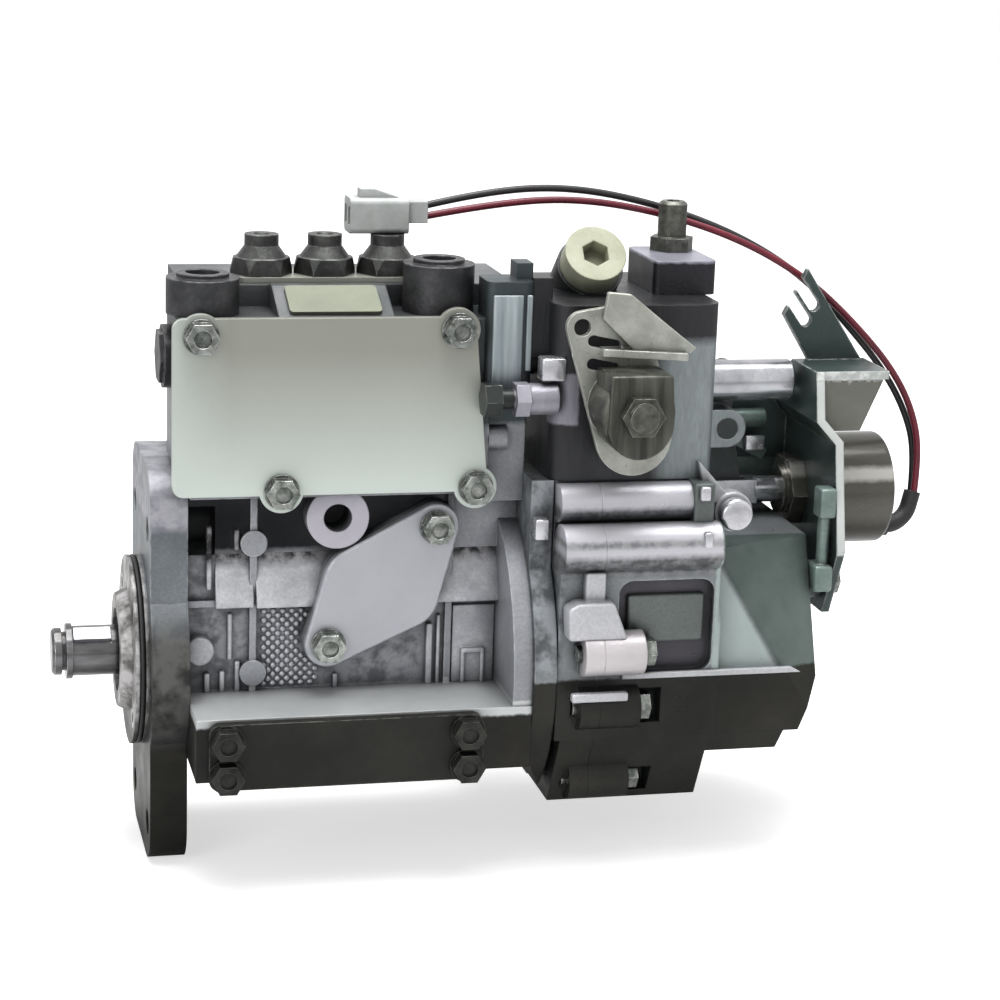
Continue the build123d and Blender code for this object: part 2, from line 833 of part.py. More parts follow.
# ---- Pump body ----
def body_castings():
    """The outer solids of the body, before it is hollowed."""
    cam_block = block(body_x0, body_x1, cam_wall_y, cam_back_y, base_low_z, upper_low_z)
    base = block(body_x0, body_x1, base_front_y, base_back_y, base_low_z, base_top_z)
    tall = block(body_x0, body_x1, step_back_y, upper_back_y, upper_low_z, body_top_z)
    front = block(body_x0, body_right_x, upper_front_y, step_back_y, upper_low_z, step_z)
    over_back_y = rack_y + rack_cap_r
    over = block(body_left_x, body_x0, upper_front_y, over_back_y, flange_h / 2 + over_flange_gap, step_z)
    joint = rod_x(body_x1 - joint_flange_t, body_x1, 0, 0, joint_flange_r)
    joint -= block(0, FAR, -FAR, FAR, -FAR, base_low_z)
    neck_front_y = upper_front_y + joint_inset
    neck = block(body_right_x, body_x1, neck_front_y, step_back_y, upper_low_z - joint_inset, step_z)
    column = rounded(body_x1 - column_w, body_x1, column_front_y, column_back_y, column_round)
    column = along_z(column, column_low_z, column_top_z)
    horn_y = (column_front_y + column_back_y - column_horn_d) / 2
    horn_x = body_x1 - column_horn_w
    column += block(horn_x, body_x1, horn_y, horn_y + column_horn_d, step_z - lap, column_horn_z)
    body = cam_block + base + tall + front + over + joint + neck + column
    for x in element_x:
        body += rod_z(upper_low_z - rib_h, upper_low_z, x, 0, tappet_r + cam_wall_t)
    return body


def body_front_details():
    """Bosses, pads and ribs on the front of the cam chamber."""
    details = rod_y(oil_boss_face_y, cam_wall_y, oil_boss_x, oil_boss_z, oil_boss_r)
    details += along_y(oval_outline(), oval_pad_y, cam_wall_y)
    rib_y = cam_wall_y - rib_h
    for x in (disc_rib_x, right_rib_x):
        details += block(x - rib_w / 2, x + rib_w / 2, rib_y, cam_wall_y, base_top_z, upper_low_z)
    details += block(body_x0, body_x1, rib_y, cam_wall_y, level_rib_z - rib_w / 2, level_rib_z + rib_w / 2)
    for z in (disc_low_z, disc_high_z):
        details += rod_y(cam_wall_y - disc_h, cam_wall_y, disc_rib_x, z, disc_r)
    for x, z in side_cover_screws():
        if z < upper_low_z + ear_r:
            details += rod_y(upper_front_y, cam_wall_y, x, z, ear_r - ear_step)
    stub_y = upper_front_y + joint_inset
    details += rod_x(body_right_x, body_right_x + stub_boss_len, stub_y, stub_boss_z, stub_boss_r)
    return details


def name_plate_bed():
    """Sloping bed on the front step for the blank name plate."""
    slope = outline(
        (name_plate_low_y, step_z - lap), (name_plate_low_y, name_plate_low_z),
        (name_plate_high_y, name_plate_high_z), (step_back_y, name_plate_high_z), (step_back_y, step_z - lap),
    )
    return along_x(slope, plate_left_x - plate_bed_margin, plate_right_x + plate_bed_margin)


def pump_body():
    body = body_castings() + body_front_details() + name_plate_bed()
    left_wall_x = body_x0 + end_wall_t
    rear_wall_x = body_x1 - rear_wall_t
    room_y0 = cam_wall_y + cam_wall_t
    room_z0 = base_low_z + cam_wall_t
    body -= block(left_wall_x, rear_wall_x, room_y0, cam_back_y - cam_wall_t, room_z0, cam_chamber_top_z)
    sump_x0 = sump_cover_left_x + sump_rim
    sump_x1 = sump_cover_right_x - sump_rim
    body -= block(sump_x0, sump_x1, base_front_y, room_y0, room_z0, base_top_z - cam_wall_t)
    body -= rod_x(body_x0, left_wall_x, 0, 0, cam_top_r + 2 * free_gap)
    body -= rod_x(rear_wall_x, body_x1, 0, 0, shoulder_r + shaft_room)
    body -= rod_x(rear_bearing_x, body_x1, 0, 0, bearing_r + seat_gap)
    chamber_front_y = upper_front_y + chamber_front_wall_t
    body -= block(
        chamber_left_x, chamber_right_x, chamber_front_y, chamber_back_y, chamber_low_z, chamber_top_z
    )
    body -= along_y(cover_window(), upper_front_y, chamber_front_y)
    for x in element_x:
        body -= rod_z(cam_chamber_top_z - lap, chamber_low_z, x, 0, tappet_r + slide_gap)
        body -= rod_z(chamber_top_z, body_top_z, x, 0, barrel_r + seat_gap)
        body -= rod_z(barrel_top_z - barrel_head_t, body_top_z, x, 0, barrel_head_r + seat_gap)
    body -= rod_x(body_left_x, body_x1, rack_y, rack_z, rack_r + slide_gap)
    body -= rod_x(body_left_x, body_left_x + rack_cap_h, rack_y, rack_z, rack_cap_thread_r)
    body -= rod_y(oil_boss_face_y, oil_boss_face_y + oil_hole_len, oil_boss_x, oil_boss_z, oil_hole_r)
    oval_x = (oval_low[0] + oval_high[0]) / 2
    oval_z = (oval_low[1] + oval_high[1]) / 2
    body -= rod_y(oval_pad_y, oval_pad_y + oval_port_deep, oval_x, oval_z, oval_port_r)
    for x, z in side_cover_screws():
        body -= screw_hole_y(x, z, upper_front_y, m6_grip)
    for x, z in (oval_low, oval_high):
        body -= screw_hole_y(x, z, oval_pad_y, m6_grip)
    for x, z in sump_screws():
        body -= screw_hole_y(x, z, base_front_y, m6_grip)
    for y, z in retainer_screws():
        tapped = retainer_screw_len - flange_t - pilot_len + lap
        body -= rod_x(body_x0, body_x0 + tapped, y, z, m5_r + seat_gap)
    for y, z in flange_holes():
        body -= rod_x(body_x0, body_x0 + nut_pocket_len, y, z, nut_pocket_r)
    for x, y, h in (inlet_eye(), outlet_eye()):
        body -= rod_z(step_z - eye_spigot_len, step_z, x, y, eye_bore_r + eye_spigot_wall + seat_gap)
        body -= rod_z(step_z, step_z + h, x, y, eye_r + free_gap)
    for y, z in joint_screws():
        body -= rod_x(body_x1 - joint_screw_grip, body_x1, y, z, m6_r + seat_gap)
    return body


# ---- Covers on the front ----
def side_cover_screws():
    return (
        (side_cover_left_x + side_screw_left_in, side_cover_top_z - side_screw_left_drop),
        (side_cover_right_top_x - side_screw_right_in, side_cover_top_z - side_screw_right_drop),
        (disc_rib_x + ear_r, side_cover_low_z + side_screw_low_rise),
        (side_cover_right_low_x - side_screw_low_in, side_cover_low_z + side_screw_low_rise),
    )


def side_cover_outline():
    sheet = outline(
        (side_cover_left_x, side_cover_low_z), (side_cover_right_low_x, side_cover_low_z),
        (side_cover_right_top_x, side_cover_top_z), (side_cover_left_x, side_cover_top_z),
    )
    sheet = fillet(sheet.vertices(), side_cover_corner_r)
    for x, z in side_cover_screws():
        sheet += Pos(x, z) * Circle(ear_r)
    return sheet


def cover_window():
    low_z = side_cover_low_z + cover_window_edge
    return rounded(chamber_left_x, chamber_right_x, low_z, chamber_top_z, side_cover_corner_r)


def side_cover_gasket():
    sheet = side_cover_outline() - cover_window()
    gasket = along_y(sheet, upper_front_y - gasket_t, upper_front_y)
    for x, z in side_cover_screws():
        gasket -= screw_hole_y(x, z, upper_front_y - gasket_t, gasket_t, free_gap)
    return gasket


def side_cover_plate():
    y1 = upper_front_y - gasket_t
    plate = along_y(side_cover_outline(), y1 - side_cover_t, y1)
    for x, z in side_cover_screws():
        plate -= screw_hole_y(x, z, y1 - side_cover_t, side_cover_t, free_gap)
    return plate


def oval_outline():
    """A leaf: a small circle at each screw and two larger ones between them."""
    bellies = [(*centre, oval_belly_r) for centre in oval_bellies]
    return hull_of((*oval_low, oval_end_r), (*oval_high, oval_end_r), *bellies)


def oval_cover_gasket():
    y0 = oval_pad_y - gasket_t
    gasket = along_y(oval_outline(), y0, oval_pad_y)
    middle_x = (oval_low[0] + oval_high[0]) / 2
    middle_z = (oval_low[1] + oval_high[1]) / 2
    gasket -= rod_y(y0, oval_pad_y, middle_x, middle_z, oval_port_r)
    for x, z in (oval_low, oval_high):
        gasket -= screw_hole_y(x, z, y0, gasket_t, free_gap)
    return gasket


def oval_cover_plate():
    y1 = oval_pad_y - gasket_t
    plate = along_y(oval_outline(), y1 - oval_t, y1)
    front = plate.faces().sort_by(Axis.Y)[0]
    plate = chamfer(front.edges(), oval_chamfer)
    for x, z in (oval_low, oval_high):
        plate -= screw_hole_y(x, z, y1 - oval_t, oval_t, free_gap)
    return plate


def cover_screws():
    screws = []
    side_face_y = upper_front_y - gasket_t - side_cover_t
    for x, z in side_cover_screws():
        screws += cover_screw(x, z, side_face_y, m6_grip)
    for x, z in (oval_low, oval_high):
        screws += cover_screw(x, z, oval_pad_y - gasket_t - oval_t, m6_grip)
    return screws


def sump_screws():
    xs = (sump_cover_left_x + sump_screw_in, sump_cover_right_x - sump_screw_in)
    return [(x, z) for x in xs for z in (sump_screw_low_z, sump_cover_top_z - sump_screw_in)]


def sump_cover():
    sheet = rounded(
        sump_cover_left_x, sump_cover_right_x, sump_cover_low_z, sump_cover_top_z, side_cover_corner_r
    )
    plate = along_y(sheet, base_front_y - sump_cover_t, base_front_y)
    for x, z in sump_screws():
        plate -= screw_hole_y(x, z, base_front_y - sump_cover_t, sump_cover_t, free_gap)
    return plate


def sump_cover_screws():
    screws = []
    for x, z in sump_screws():
        screws += cover_screw(x, z, base_front_y - sump_cover_t, m6_grip - 1)
    return screws


# ---- Pumping elements ----
def tappets():
    """Roller tappets at the top of their stroke: body, pin and roller of each."""
    pieces = []
    for x in element_x:
        body = rod_z(tappet_low_z, tappet_top_z, x, 0, tappet_r)
        fork_w = tappet_fork_w / 2
        body -= block(x - fork_w, x + fork_w, -tappet_r, tappet_r, tappet_low_z, roller_z + roller_r + lap)
        body -= rod_x(x - tappet_r, x + tappet_r, 0, roller_z, roller_pin_r + seat_gap)
        half_pin = tappet_r - tappet_pin_inset
        pin = rod_x(x - half_pin, x + half_pin, 0, roller_z, roller_pin_r)
        roller = rod_x(x - roller_w / 2, x + roller_w / 2, 0, roller_z, roller_r)
        roller -= rod_x(x - roller_w / 2, x + roller_w / 2, 0, roller_z, roller_pin_r + slide_gap)
        pieces += [body, pin, roller]
    return pieces


def plunger_springs():
    springs = []
    for x in element_x:
        height = spring_len - 2 * spring_wire_r
        coil = Helix(height / spring_turns, height, spring_coil_r)
        wire = Plane(origin=coil @ 0, z_dir=coil % 0) * Circle(spring_wire_r)
        springs.append(Pos(x, 0, spring_low_z + spring_wire_r) * sweep(wire, path=coil))
    return springs


def plunger_barrels():
    barrels = []
    for x in element_x:
        barrel = rod_z(barrel_low_z, barrel_top_z - barrel_head_t, x, 0, barrel_r)
        barrel += rod_z(barrel_top_z - barrel_head_t, barrel_top_z, x, 0, barrel_head_r)
        barrels.append(barrel - rod_z(barrel_low_z, barrel_top_z, x, 0, plunger_r + slide_gap))
    return barrels


def plunger(i):
    """Plunger with its metering helix groove, turned by its control sleeve."""
    x = element_x[i]
    low_z = tappet_top_z + free_gap
    rod = rod_z(low_z, plunger_top_z, x, 0, plunger_r)
    rod += rod_z(low_z, low_z + plunger_foot_t - free_gap, x, 0, plunger_foot_r)
    vane_x = sleeve_r - vane_inset
    vane = block(x - vane_x, x + vane_x, -vane_t / 2, vane_t / 2, vane_low_z, vane_low_z + vane_h)
    groove = block(x, x + plunger_r, 0, plunger_r, plunger_top_z - helix_h, plunger_top_z - helix_land)
    return rod + vane - groove


def control_sleeve(i):
    """Sleeve that turns on the barrel, slotted for the plunger's vane, with a round-ended arm."""
    x = element_x[i]
    top_z = sleeve_low_z + sleeve_h
    sleeve = rod_z(vane_low_z - sleeve_skirt, top_z, x, 0, sleeve_r)
    sleeve -= rod_z(barrel_low_z - free_gap, top_z, x, 0, barrel_r + slide_gap)
    sleeve -= rod_z(vane_low_z - sleeve_skirt, barrel_low_z, x, 0, plunger_foot_r + free_gap)
    slot_y = vane_t / 2 + free_gap
    slot_x = sleeve_r - vane_inset + free_gap
    sleeve -= block(x - slot_x, x + slot_x, -slot_y, slot_y, vane_low_z - sleeve_skirt, barrel_low_z)
    half = sleeve_arm_w / 2
    arm_z0 = rack_z - half
    arm_z1 = rack_z + half
    arm_y = -barrel_r - slide_gap
    sleeve += block(x - half, x + half, -sleeve_arm_reach, arm_y, arm_z0, arm_z1)
    return sleeve + rod_z(arm_z0, arm_z1, x, -sleeve_arm_reach, sleeve_arm_r)


def delivery_valves():
    """Valve seats with their valves, clamped on the barrels by the holders."""
    pieces = []
    for x in element_x:
        seat_top = barrel_top_z + valve_seat_t
        cone_top = seat_top + valve_cone_h
        seat = rod_z(barrel_top_z, seat_top, x, 0, valve_seat_r)
        seat -= rod_z(barrel_top_z, seat_top, x, 0, valve_stem_r)
        valve = rod_z(barrel_top_z, seat_top, x, 0, valve_stem_r - slide_gap)
        valve += cone_z(seat_top, cone_top, x, 0, valve_stem_r, valve_stem_r + valve_cone_lip)
        valve += rod_z(cone_top, barrel_top_z + valve_stem_len, x, 0, valve_guide_r)
        pieces += [seat, valve]
    return pieces


def delivery_valve_holder(i):
    x = element_x[i]
    thread_z = barrel_top_z + valve_seat_t
    holder = rod_z(thread_z, lock_top_z, x, 0, holder_thread_r)
    hex_top = lock_top_z + holder_hex_h
    nut = along_z(hexagon(holder_hex_af, x, 0), lock_top_z, hex_top)
    half_af = holder_hex_af / 2
    turned = cone_z(lock_top_z, hex_top, x, 0, half_af + holder_hex_low_spare, half_af + holder_hex_top_spare)
    holder += nut & turned
    holder += cone_z(hex_top, hex_top + holder_cone_h, x, 0, half_af - holder_cone_inset, holder_neck_r)
    holder += rod_z(hex_top + holder_cone_h, holder_top_z, x, 0, holder_neck_r)
    bore_top = hex_top + holder_cone_h - holder_bore_end
    holder -= rod_z(thread_z, bore_top, x, 0, holder_bore_r)
    holder -= rod_z(bore_top, holder_top_z, x, 0, holder_outlet_r)
    return holder - cone_z(holder_top_z - holder_seat_r, holder_top_z, x, 0, holder_seat_tip_r, holder_seat_r)


def holder_lock_plate():
    half_w = lock_plate_w / 2
    left_x = element_x[0] - lock_plate_end
    right_x = element_x[-1] + lock_plate_end
    sheet = rounded(left_x, right_x, -half_w, half_w, lock_plate_corner_r)
    plate = along_z(sheet, body_top_z, lock_top_z)
    for x in element_x:
        plate -= rod_z(body_top_z, lock_top_z, x, 0, holder_thread_r + free_gap)
    return plate


# ---- Control rack ----
def control_rack():
    """Round rack with a fork block for each sleeve arm and a slotted head for the governor lever."""
    bar_x1 = rack_head_x0 + rack_travel
    rack = rod_x(rack_left_x, bar_x1, rack_y, rack_z, rack_r)
    half = rack_fork_w / 2
    gap = sleeve_arm_r + rack_fork_play
    y0 = rack_y - rack_fork_d / 2
    y1 = rack_y + rack_fork_d / 2
    z0 = rack_z - rack_fork_h
    z1 = rack_z + rack_fork_h
    for x in element_x:
        rack += block(x - half, x + half, y0, y1, z0, z1)
        rack -= block(x - gap, x + gap, y0 + rack_fork_web, y1, z0, z1)
    head_y0 = rack_y - rack_head_t / 2
    head_y1 = rack_y + rack_head_t / 2
    head_z0 = rack_z - rack_head_h / 2
    head_z1 = rack_z + rack_head_h / 2
    rack += block(rack_head_x0, rack_head_x1, head_y0, head_y1, head_z0, head_z1)
    gap = link_pin_r + free_gap
    floor_z = head_z0 + rack_head_floor
    return rack - block(fulcrum_x - gap, fulcrum_x + gap, head_y0, head_y1, floor_z, head_z1)


def rack_end_cap():
    """Screw cap over the drive end of the rack, with a hexagon and a hollow that the rack runs into."""
    thread_r = rack_cap_thread_r - seat_gap
    cap = rod_x(body_left_x, body_left_x + rack_cap_h, rack_y, rack_z, thread_r)
    cap += rod_x(body_left_x - rack_cap_collar_t, body_left_x, rack_y, rack_z, rack_cap_r)
    grip_x = body_left_x - rack_cap_h
    cap += along_x(hexagon(rack_cap_af, rack_y, rack_z), grip_x, body_left_x - rack_cap_collar_t)
    hollow_x = rack_left_x - rack_travel - rack_end_room
    return cap - rod_x(hollow_x, body_left_x + rack_cap_h, rack_y, rack_z, rack_r + free_gap)


# ---- Top of the body ----
def inlet_eye():
    return inlet_eye_x, inlet_eye_y, inlet_eye_h


def outlet_eye():
    return outlet_eye_x, outlet_eye_y, outlet_eye_h


def fuel_eye(x, y, h):
    """Upright steel eye with a spigot pressed into the step of the body."""
    eye = rod_z(step_z, step_z + h, x, y, eye_r) + rod_z(step_z + h, step_z + h + eye_rim_t, x, y, eye_rim_r)
    eye += rod_z(step_z - eye_spigot_len, step_z, x, y, eye_bore_r + eye_spigot_wall)
    return eye - rod_z(step_z - eye_spigot_len, step_z + h + eye_rim_t, x, y, eye_bore_r)


def name_plate():
    """Blank sheet on its sloping bed, with a screw head at each end."""
    rise = name_plate_high_z - name_plate_low_z
    run = name_plate_high_y - name_plate_low_y
    slope = atan2(rise, run)
    middle = (
        (plate_left_x + plate_right_x) / 2, (name_plate_low_y + name_plate_high_y) / 2,
        (name_plate_low_z + name_plate_high_z) / 2,
    )
    bed = Plane(origin=middle, x_dir=(1, 0, 0), z_dir=(0, -sin(slope), cos(slope)))
    width = plate_right_x - plate_left_x
    sheet = bed * RectangleRounded(width, hypot(rise, run) - 2 * name_plate_margin, name_plate_margin)
    return extrude(sheet, amount=name_plate_t)


# ---- Governor castings ----
def lower_profile(right_x):
    """Outer solids shared by the two lower castings, from the flange side to right_x."""
    deck_x = min(right_x, case_right_x)
    return (
        block(tube_left_x, right_x, gov_front_y, gov_back_y, gov_edge_z, gov_shoulder_z)
        + block(tube_left_x, deck_x, gov_deck_front_y, gov_deck_back_y, gov_edge_z, gov_deck_z)
    )


def keel(right_x):
    """Deep foot under the governor with sloped front and back."""
    shape = outline(
        (gov_front_y, gov_edge_z), (gov_keel_front_y, gov_keel_z), (gov_keel_back_y, gov_keel_z),
        (gov_back_y, gov_edge_z),
    )
    return along_x(shape, tube_left_x + keel_inset, right_x)


def front_tubes(x0, upper_x1, lower_x1):
    upper = rod_x(x0, upper_x1, upper_tube_y, upper_tube_z, upper_tube_r)
    return upper + rod_x(x0, lower_x1, lower_tube_y, lower_tube_z, lower_tube_r)


def joint_screws():
    ring = joint_screw_ring_r
    return [(ring * cos(radians(a)), ring * sin(radians(a))) for a in joint_screw_turns]


def toe_cutter(lift):
    """Region under the rising toe of the housing, next to the pump, raised by lift."""
    land_x = body_x1 + gov_toe_land
    foot_x = body_x1 + gov_toe_len
    shape = outline(
        (body_x1 - lap, base_low_z + lift), (land_x, base_low_z + lift), (foot_x, gov_keel_z + lift),
        (foot_x, -FAR), (body_x1 - lap, -FAR),
    )
    return along_y(shape, -FAR / 2, FAR / 2)


def governor_housing():
    """Front governor casting: round flange on the pump, lobed flange at the seam."""
    x0 = body_x1
    flange = rod_x(x0, x0 + gov_flange_t, 0, 0, gov_flange_r)
    flange += block(x0, x0 + gov_flange_t, gov_deck_front_y, gov_deck_back_y, 0, gov_deck_z)
    flange += rod_x(x0, seam_x, 0, 0, gov_round_r)
    flange -= block(0, FAR, -FAR, FAR, -FAR, gov_keel_z)
    housing = flange + lower_profile(seam_x) + keel(seam_x) + front_tubes(tube_left_x, seam_x, seam_x)
    housing -= toe_cutter(0)
    for y, z in lobe_screws:
        housing += rod_x(seam_x - lobe_t, seam_x, y, z, lobe_r)
    housing -= rod_x(x0 + gov_web_t, seam_x, 0, 0, gov_cavity_r).cut(toe_cutter(gov_toe_wall))
    housing -= rod_x(x0, x0 + gov_web_t, 0, 0, carrier_r + carrier_room)
    for y, z in joint_screws():
        housing -= rod_x(x0, x0 + gov_web_t, y, z, m6_r + free_gap)
    for y, z in lobe_screws:
        housing -= rod_x(seam_x - lobe_screw_bite, seam_x, y, z, m6_r + seat_gap)
    return housing


def governor_shaft_way(x0, x1):
    """Tall way through deck and case floor for the governor lever, as wide as its swing needs."""
    half_swing = rack_travel + lever_link_w / 2 + lever_way_room
    low_x = max(x0, fulcrum_x - half_swing)
    high_x = min(x1, fulcrum_x + half_swing)
    return block(low_x, high_x, -fulcrum_span / 2, fulcrum_span / 2, 0, case_floor_top_z())


def case_floor_top_z():
    return gov_deck_z + case_wall


def governor_cover():
    """Rear governor casting, with the sloped facets at its free end."""
    x1 = cover_right_x
    cover = lower_profile(x1).cut(block(0, seam_x, -FAR, FAR, -FAR, FAR))
    cover += block(seam_x, x1 - cover_end_step, cover_foot_front_y, gov_keel_back_y, cover_low_z, gov_edge_z)
    cover += keel(cover_keel_right_x).cut(block(0, seam_x, -FAR, FAR, -FAR, FAR))
    cover -= facet_cutter()
    cover -= low_corner_cutter(0)
    cover -= recess()
    cover += front_tubes(seam_x, upper_tube_right_x, lower_tube_right_x)
    for y, z in lobe_screws:
        cover += rod_x(seam_x, seam_x + cover_lobe_len, y, z, lobe_r)
    for y in (foot_front_y, foot_back_y):
        cover += rod_x(x1 - lap, x1 + foot_boss_len, y, foot_z, foot_boss_r)
    deep_x = cover_keel_right_x - gov_cover_wall
    round_room = rod_x(deep_x - lap, cavity_end_x, 0, 0, gov_cavity_r - gov_cover_wall)
    cover -= rod_x(seam_x, deep_x, 0, 0, gov_cavity_r - gov_cover_wall)
    cover -= round_room.cut(block(0, FAR, -FAR, FAR, -FAR, cover_low_z + gov_cover_wall))
    spring_room = block(
        cavity_end_x - lap, x1 - spring_room_wall, spring_room_front_y, gov_back_y - gov_cover_wall,
        spring_room_low_z, gov_shoulder_z - spring_room_wall,
    )
    cover -= spring_room.cut(low_corner_cutter(heel_wall))
    cover -= governor_shaft_way(seam_x, x1)
    half_shaft = fulcrum_span / 2 + fulcrum_seat
    cover -= rod_y(-half_shaft, half_shaft, fulcrum_x, fulcrum_z, fulcrum_r + slide_gap)
    head_x = seam_x + cover_lobe_len
    for y, z in lobe_screws:
        cover -= rod_x(seam_x, head_x, y, z, m6_r + free_gap)
        cover -= rod_x(head_x, head_x + 2 * m6_head_h, y, z, m6_plain_head_af / 2 + m6_spot_room + lap)
    for y in (foot_front_y, foot_back_y):
        cover -= rod_x(x1 + foot_boss_len - m6_grip, x1 + foot_boss_len, y, foot_z, m6_r + seat_gap)
    return cover


def facet_cutter():
    """Takes the front corner off the free end: a leaning flat, and a turned flat beside it."""
    lean = outline(
        (gov_front_y - lap, gov_edge_z), (gov_front_y, gov_edge_z),
        (gov_front_y + cover_nose_drop, gov_shoulder_z), (gov_front_y - lap, gov_shoulder_z),
    )
    leaning = along_x(lean, cover_taper_x, cover_right_x)
    low = (cover_right_x, gov_front_y, gov_edge_z)
    across = Vector(cover_taper_x, gov_front_y + cover_nose_drop, gov_shoulder_z) - Vector(*low)
    back = Vector(cover_right_x, gov_front_y + cover_turn_y, gov_shoulder_z) - Vector(*low)
    normal = back.cross(across)
    if normal.Y > 0:
        normal = normal * -1
    turned = extrude(Plane(origin=low, z_dir=normal) * Rectangle(FAR, FAR), amount=FAR)
    keep_right = block(cover_taper_x - lap, FAR, -FAR, 0, gov_edge_z, FAR)
    return leaning + (turned & keep_right)


def low_corner_cutter(lift):
    """Region under the underside that rises to the free end, raised by lift."""
    shape = outline(
        (cover_right_x + lap, cover_heel_z + lift), (cover_right_x + lap, cover_low_z - lap),
        (cover_slope_x, cover_low_z - lap), (cover_slope_x, cover_low_z + lift),
    )
    return along_y(shape, -FAR / 2, FAR / 2)


def recess():
    return along_y(
        rounded(recess_left_x, recess_right_x, recess_low_z, recess_high_z, recess_corner_r),
        gov_front_y, gov_front_y + recess_deep,
    )


def governor_screws():
    """Screws through the lobes at the seam, and those inside that hold the housing to the pump."""
    lobe_grip = cover_lobe_len + lobe_screw_bite - free_gap
    joint_grip = gov_web_t + joint_screw_grip - free_gap
    screws = [screw_x(y, z, seam_x + cover_lobe_len, lobe_grip, m6_plain_head_af) for y, z in lobe_screws]
    screws += [screw_x(y, z, body_x1 + gov_web_t, joint_grip, m6_plain_head_af) for y, z in joint_screws()]
    return screws


def upper_case():
    """Upper governor case: rack end, speed lever shaft, cap boss, top block and stop lever lug."""
    sheet = rounded(case_left_x, case_right_x, case_front_y, case_back_y, case_corner_r)
    case = along_z(sheet, gov_deck_z, case_top_z)
    inner = rounded(
        case_left_x + case_wall, case_right_x - case_wall, case_front_y + case_wall, case_back_y - case_wall,
        case_corner_r - case_wall / 2,
    )
    case -= along_z(inner, case_floor_top_z(), case_top_z - case_wall)
    lug_x0 = case_left_x - case_lug_len
    case += rod_x(lug_x0, case_left_x + lap, load_screw_y, load_screw_z, case_lug_r)
    case += rod_x(body_x1, case_left_x + case_wall, rack_y, rack_z, rack_collar_r)
    horn_back_y = case_horn_y + case_horn_d
    case += block(body_x1, case_left_x + lap, case_horn_y, horn_back_y, case_horn_low_z, case_horn_z)
    case += rod_y(case_front_y - lever_boss_len, case_front_y + case_wall, lever_x, lever_z, lever_boss_r)
    case += cap_axis_rod(-cap_h - cap_boss_len, -cap_h, cap_boss_r)
    lug_root = (case_right_x - stop_lug_root, stop_pivot_z, stop_boss_r)
    lug = hull_of((stop_pivot_x, stop_pivot_z, stop_boss_r), lug_root)
    case += along_y(lug, stop_lug_y0, stop_lug_y1).cut(block(0, case_right_x - lap, -FAR, FAR, -FAR, FAR))
    case -= rod_x(body_x1, case_left_x + case_wall, rack_y, rack_z, rack_r + 2 * free_gap)
    case -= rod_x(lug_x0, case_left_x + lap, load_screw_y, load_screw_z, load_screw_r + seat_gap)
    shaft_bore_r = lever_shaft_r + slide_gap
    case -= rod_y(case_front_y - lever_boss_len, case_front_y + case_wall, lever_x, lever_z, shaft_bore_r)
    case -= rod_y(stop_lug_y0, stop_lug_y1, stop_pivot_x, stop_pivot_z, stop_shaft_r + slide_gap)
    case -= rod_x(case_right_x - case_wall, case_right_x, limiter_y, limiter_z, limiter_thread_r + seat_gap)
    case -= governor_shaft_way(case_left_x, case_right_x)
    return case


def cap_axis_rod(start, end, r):
    """Round solid on the cap's axis; 0 is the cap's face and positive runs out of it."""
    tilt = radians(cap_tilt)
    way = Vector(0, -cos(tilt), sin(tilt))
    face = Vector(cap_x, *cap_face)
    return Solid.make_cylinder(r, end - start, Plane(origin=face + way * start, z_dir=way))


def filler_cap():
    """Moulded cap with a hexagon socket, a rounded edge and a shallow groove."""
    tilt = radians(cap_tilt)
    way = Vector(0, -cos(tilt), sin(tilt))
    face = Vector(cap_x, *cap_face)
    cap = cap_axis_rod(-cap_h, 0, cap_r)
    socket = extrude(Plane(origin=face, z_dir=way) * hexagon(cap_hex_af), amount=-cap_hex_deep)
    return cap - socket


def top_block():
    base = rounded(top_block_x0, top_block_x1, top_block_y0, top_block_y1, top_block_corner_r)
    top_z = case_top_z + top_block_h
    piece = along_z(base, case_top_z, top_z)
    return piece - rod_z(top_z - post_thread_len, top_z, post_x, post_y, post_thread_r + seat_gap)


def overflow_valve():
    """Upright valve screwed into the top block."""
    z0 = case_top_z + top_block_h
    post = rod_z(z0 - post_thread_len, z0, post_x, post_y, post_thread_r)
    post += along_z(hexagon(post_hex_af, post_x, post_y), z0, z0 + post_hex_h)
    post += rod_z(z0 + post_hex_h, z0 + post_h, post_x, post_y, post_r)
    top_edge = post.edges().filter_by(GeomType.CIRCLE).sort_by(Axis.Z)[-1]
    post = chamfer(top_edge, post_chamfer)
    return post - rod_z(z0, z0 + post_h, post_x, post_y, post_bore_r)


def load_screw():
    """Full-load stop screw with its lock nut, in the lug beside the body."""
    lug_x0 = case_left_x - case_lug_len
    head_x1 = load_screw_left_x + load_screw_head_h
    screw = along_x(hexagon(load_screw_head_af, load_screw_y, load_screw_z), load_screw_left_x, head_x1)
    screw += rod_x(head_x1, case_left_x, load_screw_y, load_screw_z, load_screw_r)
    nut = along_x(hexagon(load_screw_head_af, load_screw_y, load_screw_z), lug_x0 - load_nut_t, lug_x0)
    return screw, nut - rod_x(lug_x0 - load_nut_t, lug_x0, load_screw_y, load_screw_z, load_screw_r)


def torque_limiter():
    """Round steel sleeve with a hexagon at the case, screwed into the case's right wall."""
    sleeve = rod_x(case_right_x - case_wall, case_right_x, limiter_y, limiter_z, limiter_thread_r)
    hex_end_x = case_right_x + limiter_hex_len
    sleeve += along_x(hexagon(2 * limiter_r, limiter_y, limiter_z), case_right_x, hex_end_x)
    sleeve += rod_x(case_right_x + limiter_hex_len, limiter_end_x, limiter_y, limiter_z, limiter_tube_r)
    end = sleeve.edges().filter_by(GeomType.CIRCLE).sort_by(Axis.X)[-1]
    return chamfer(end, limiter_chamfer)


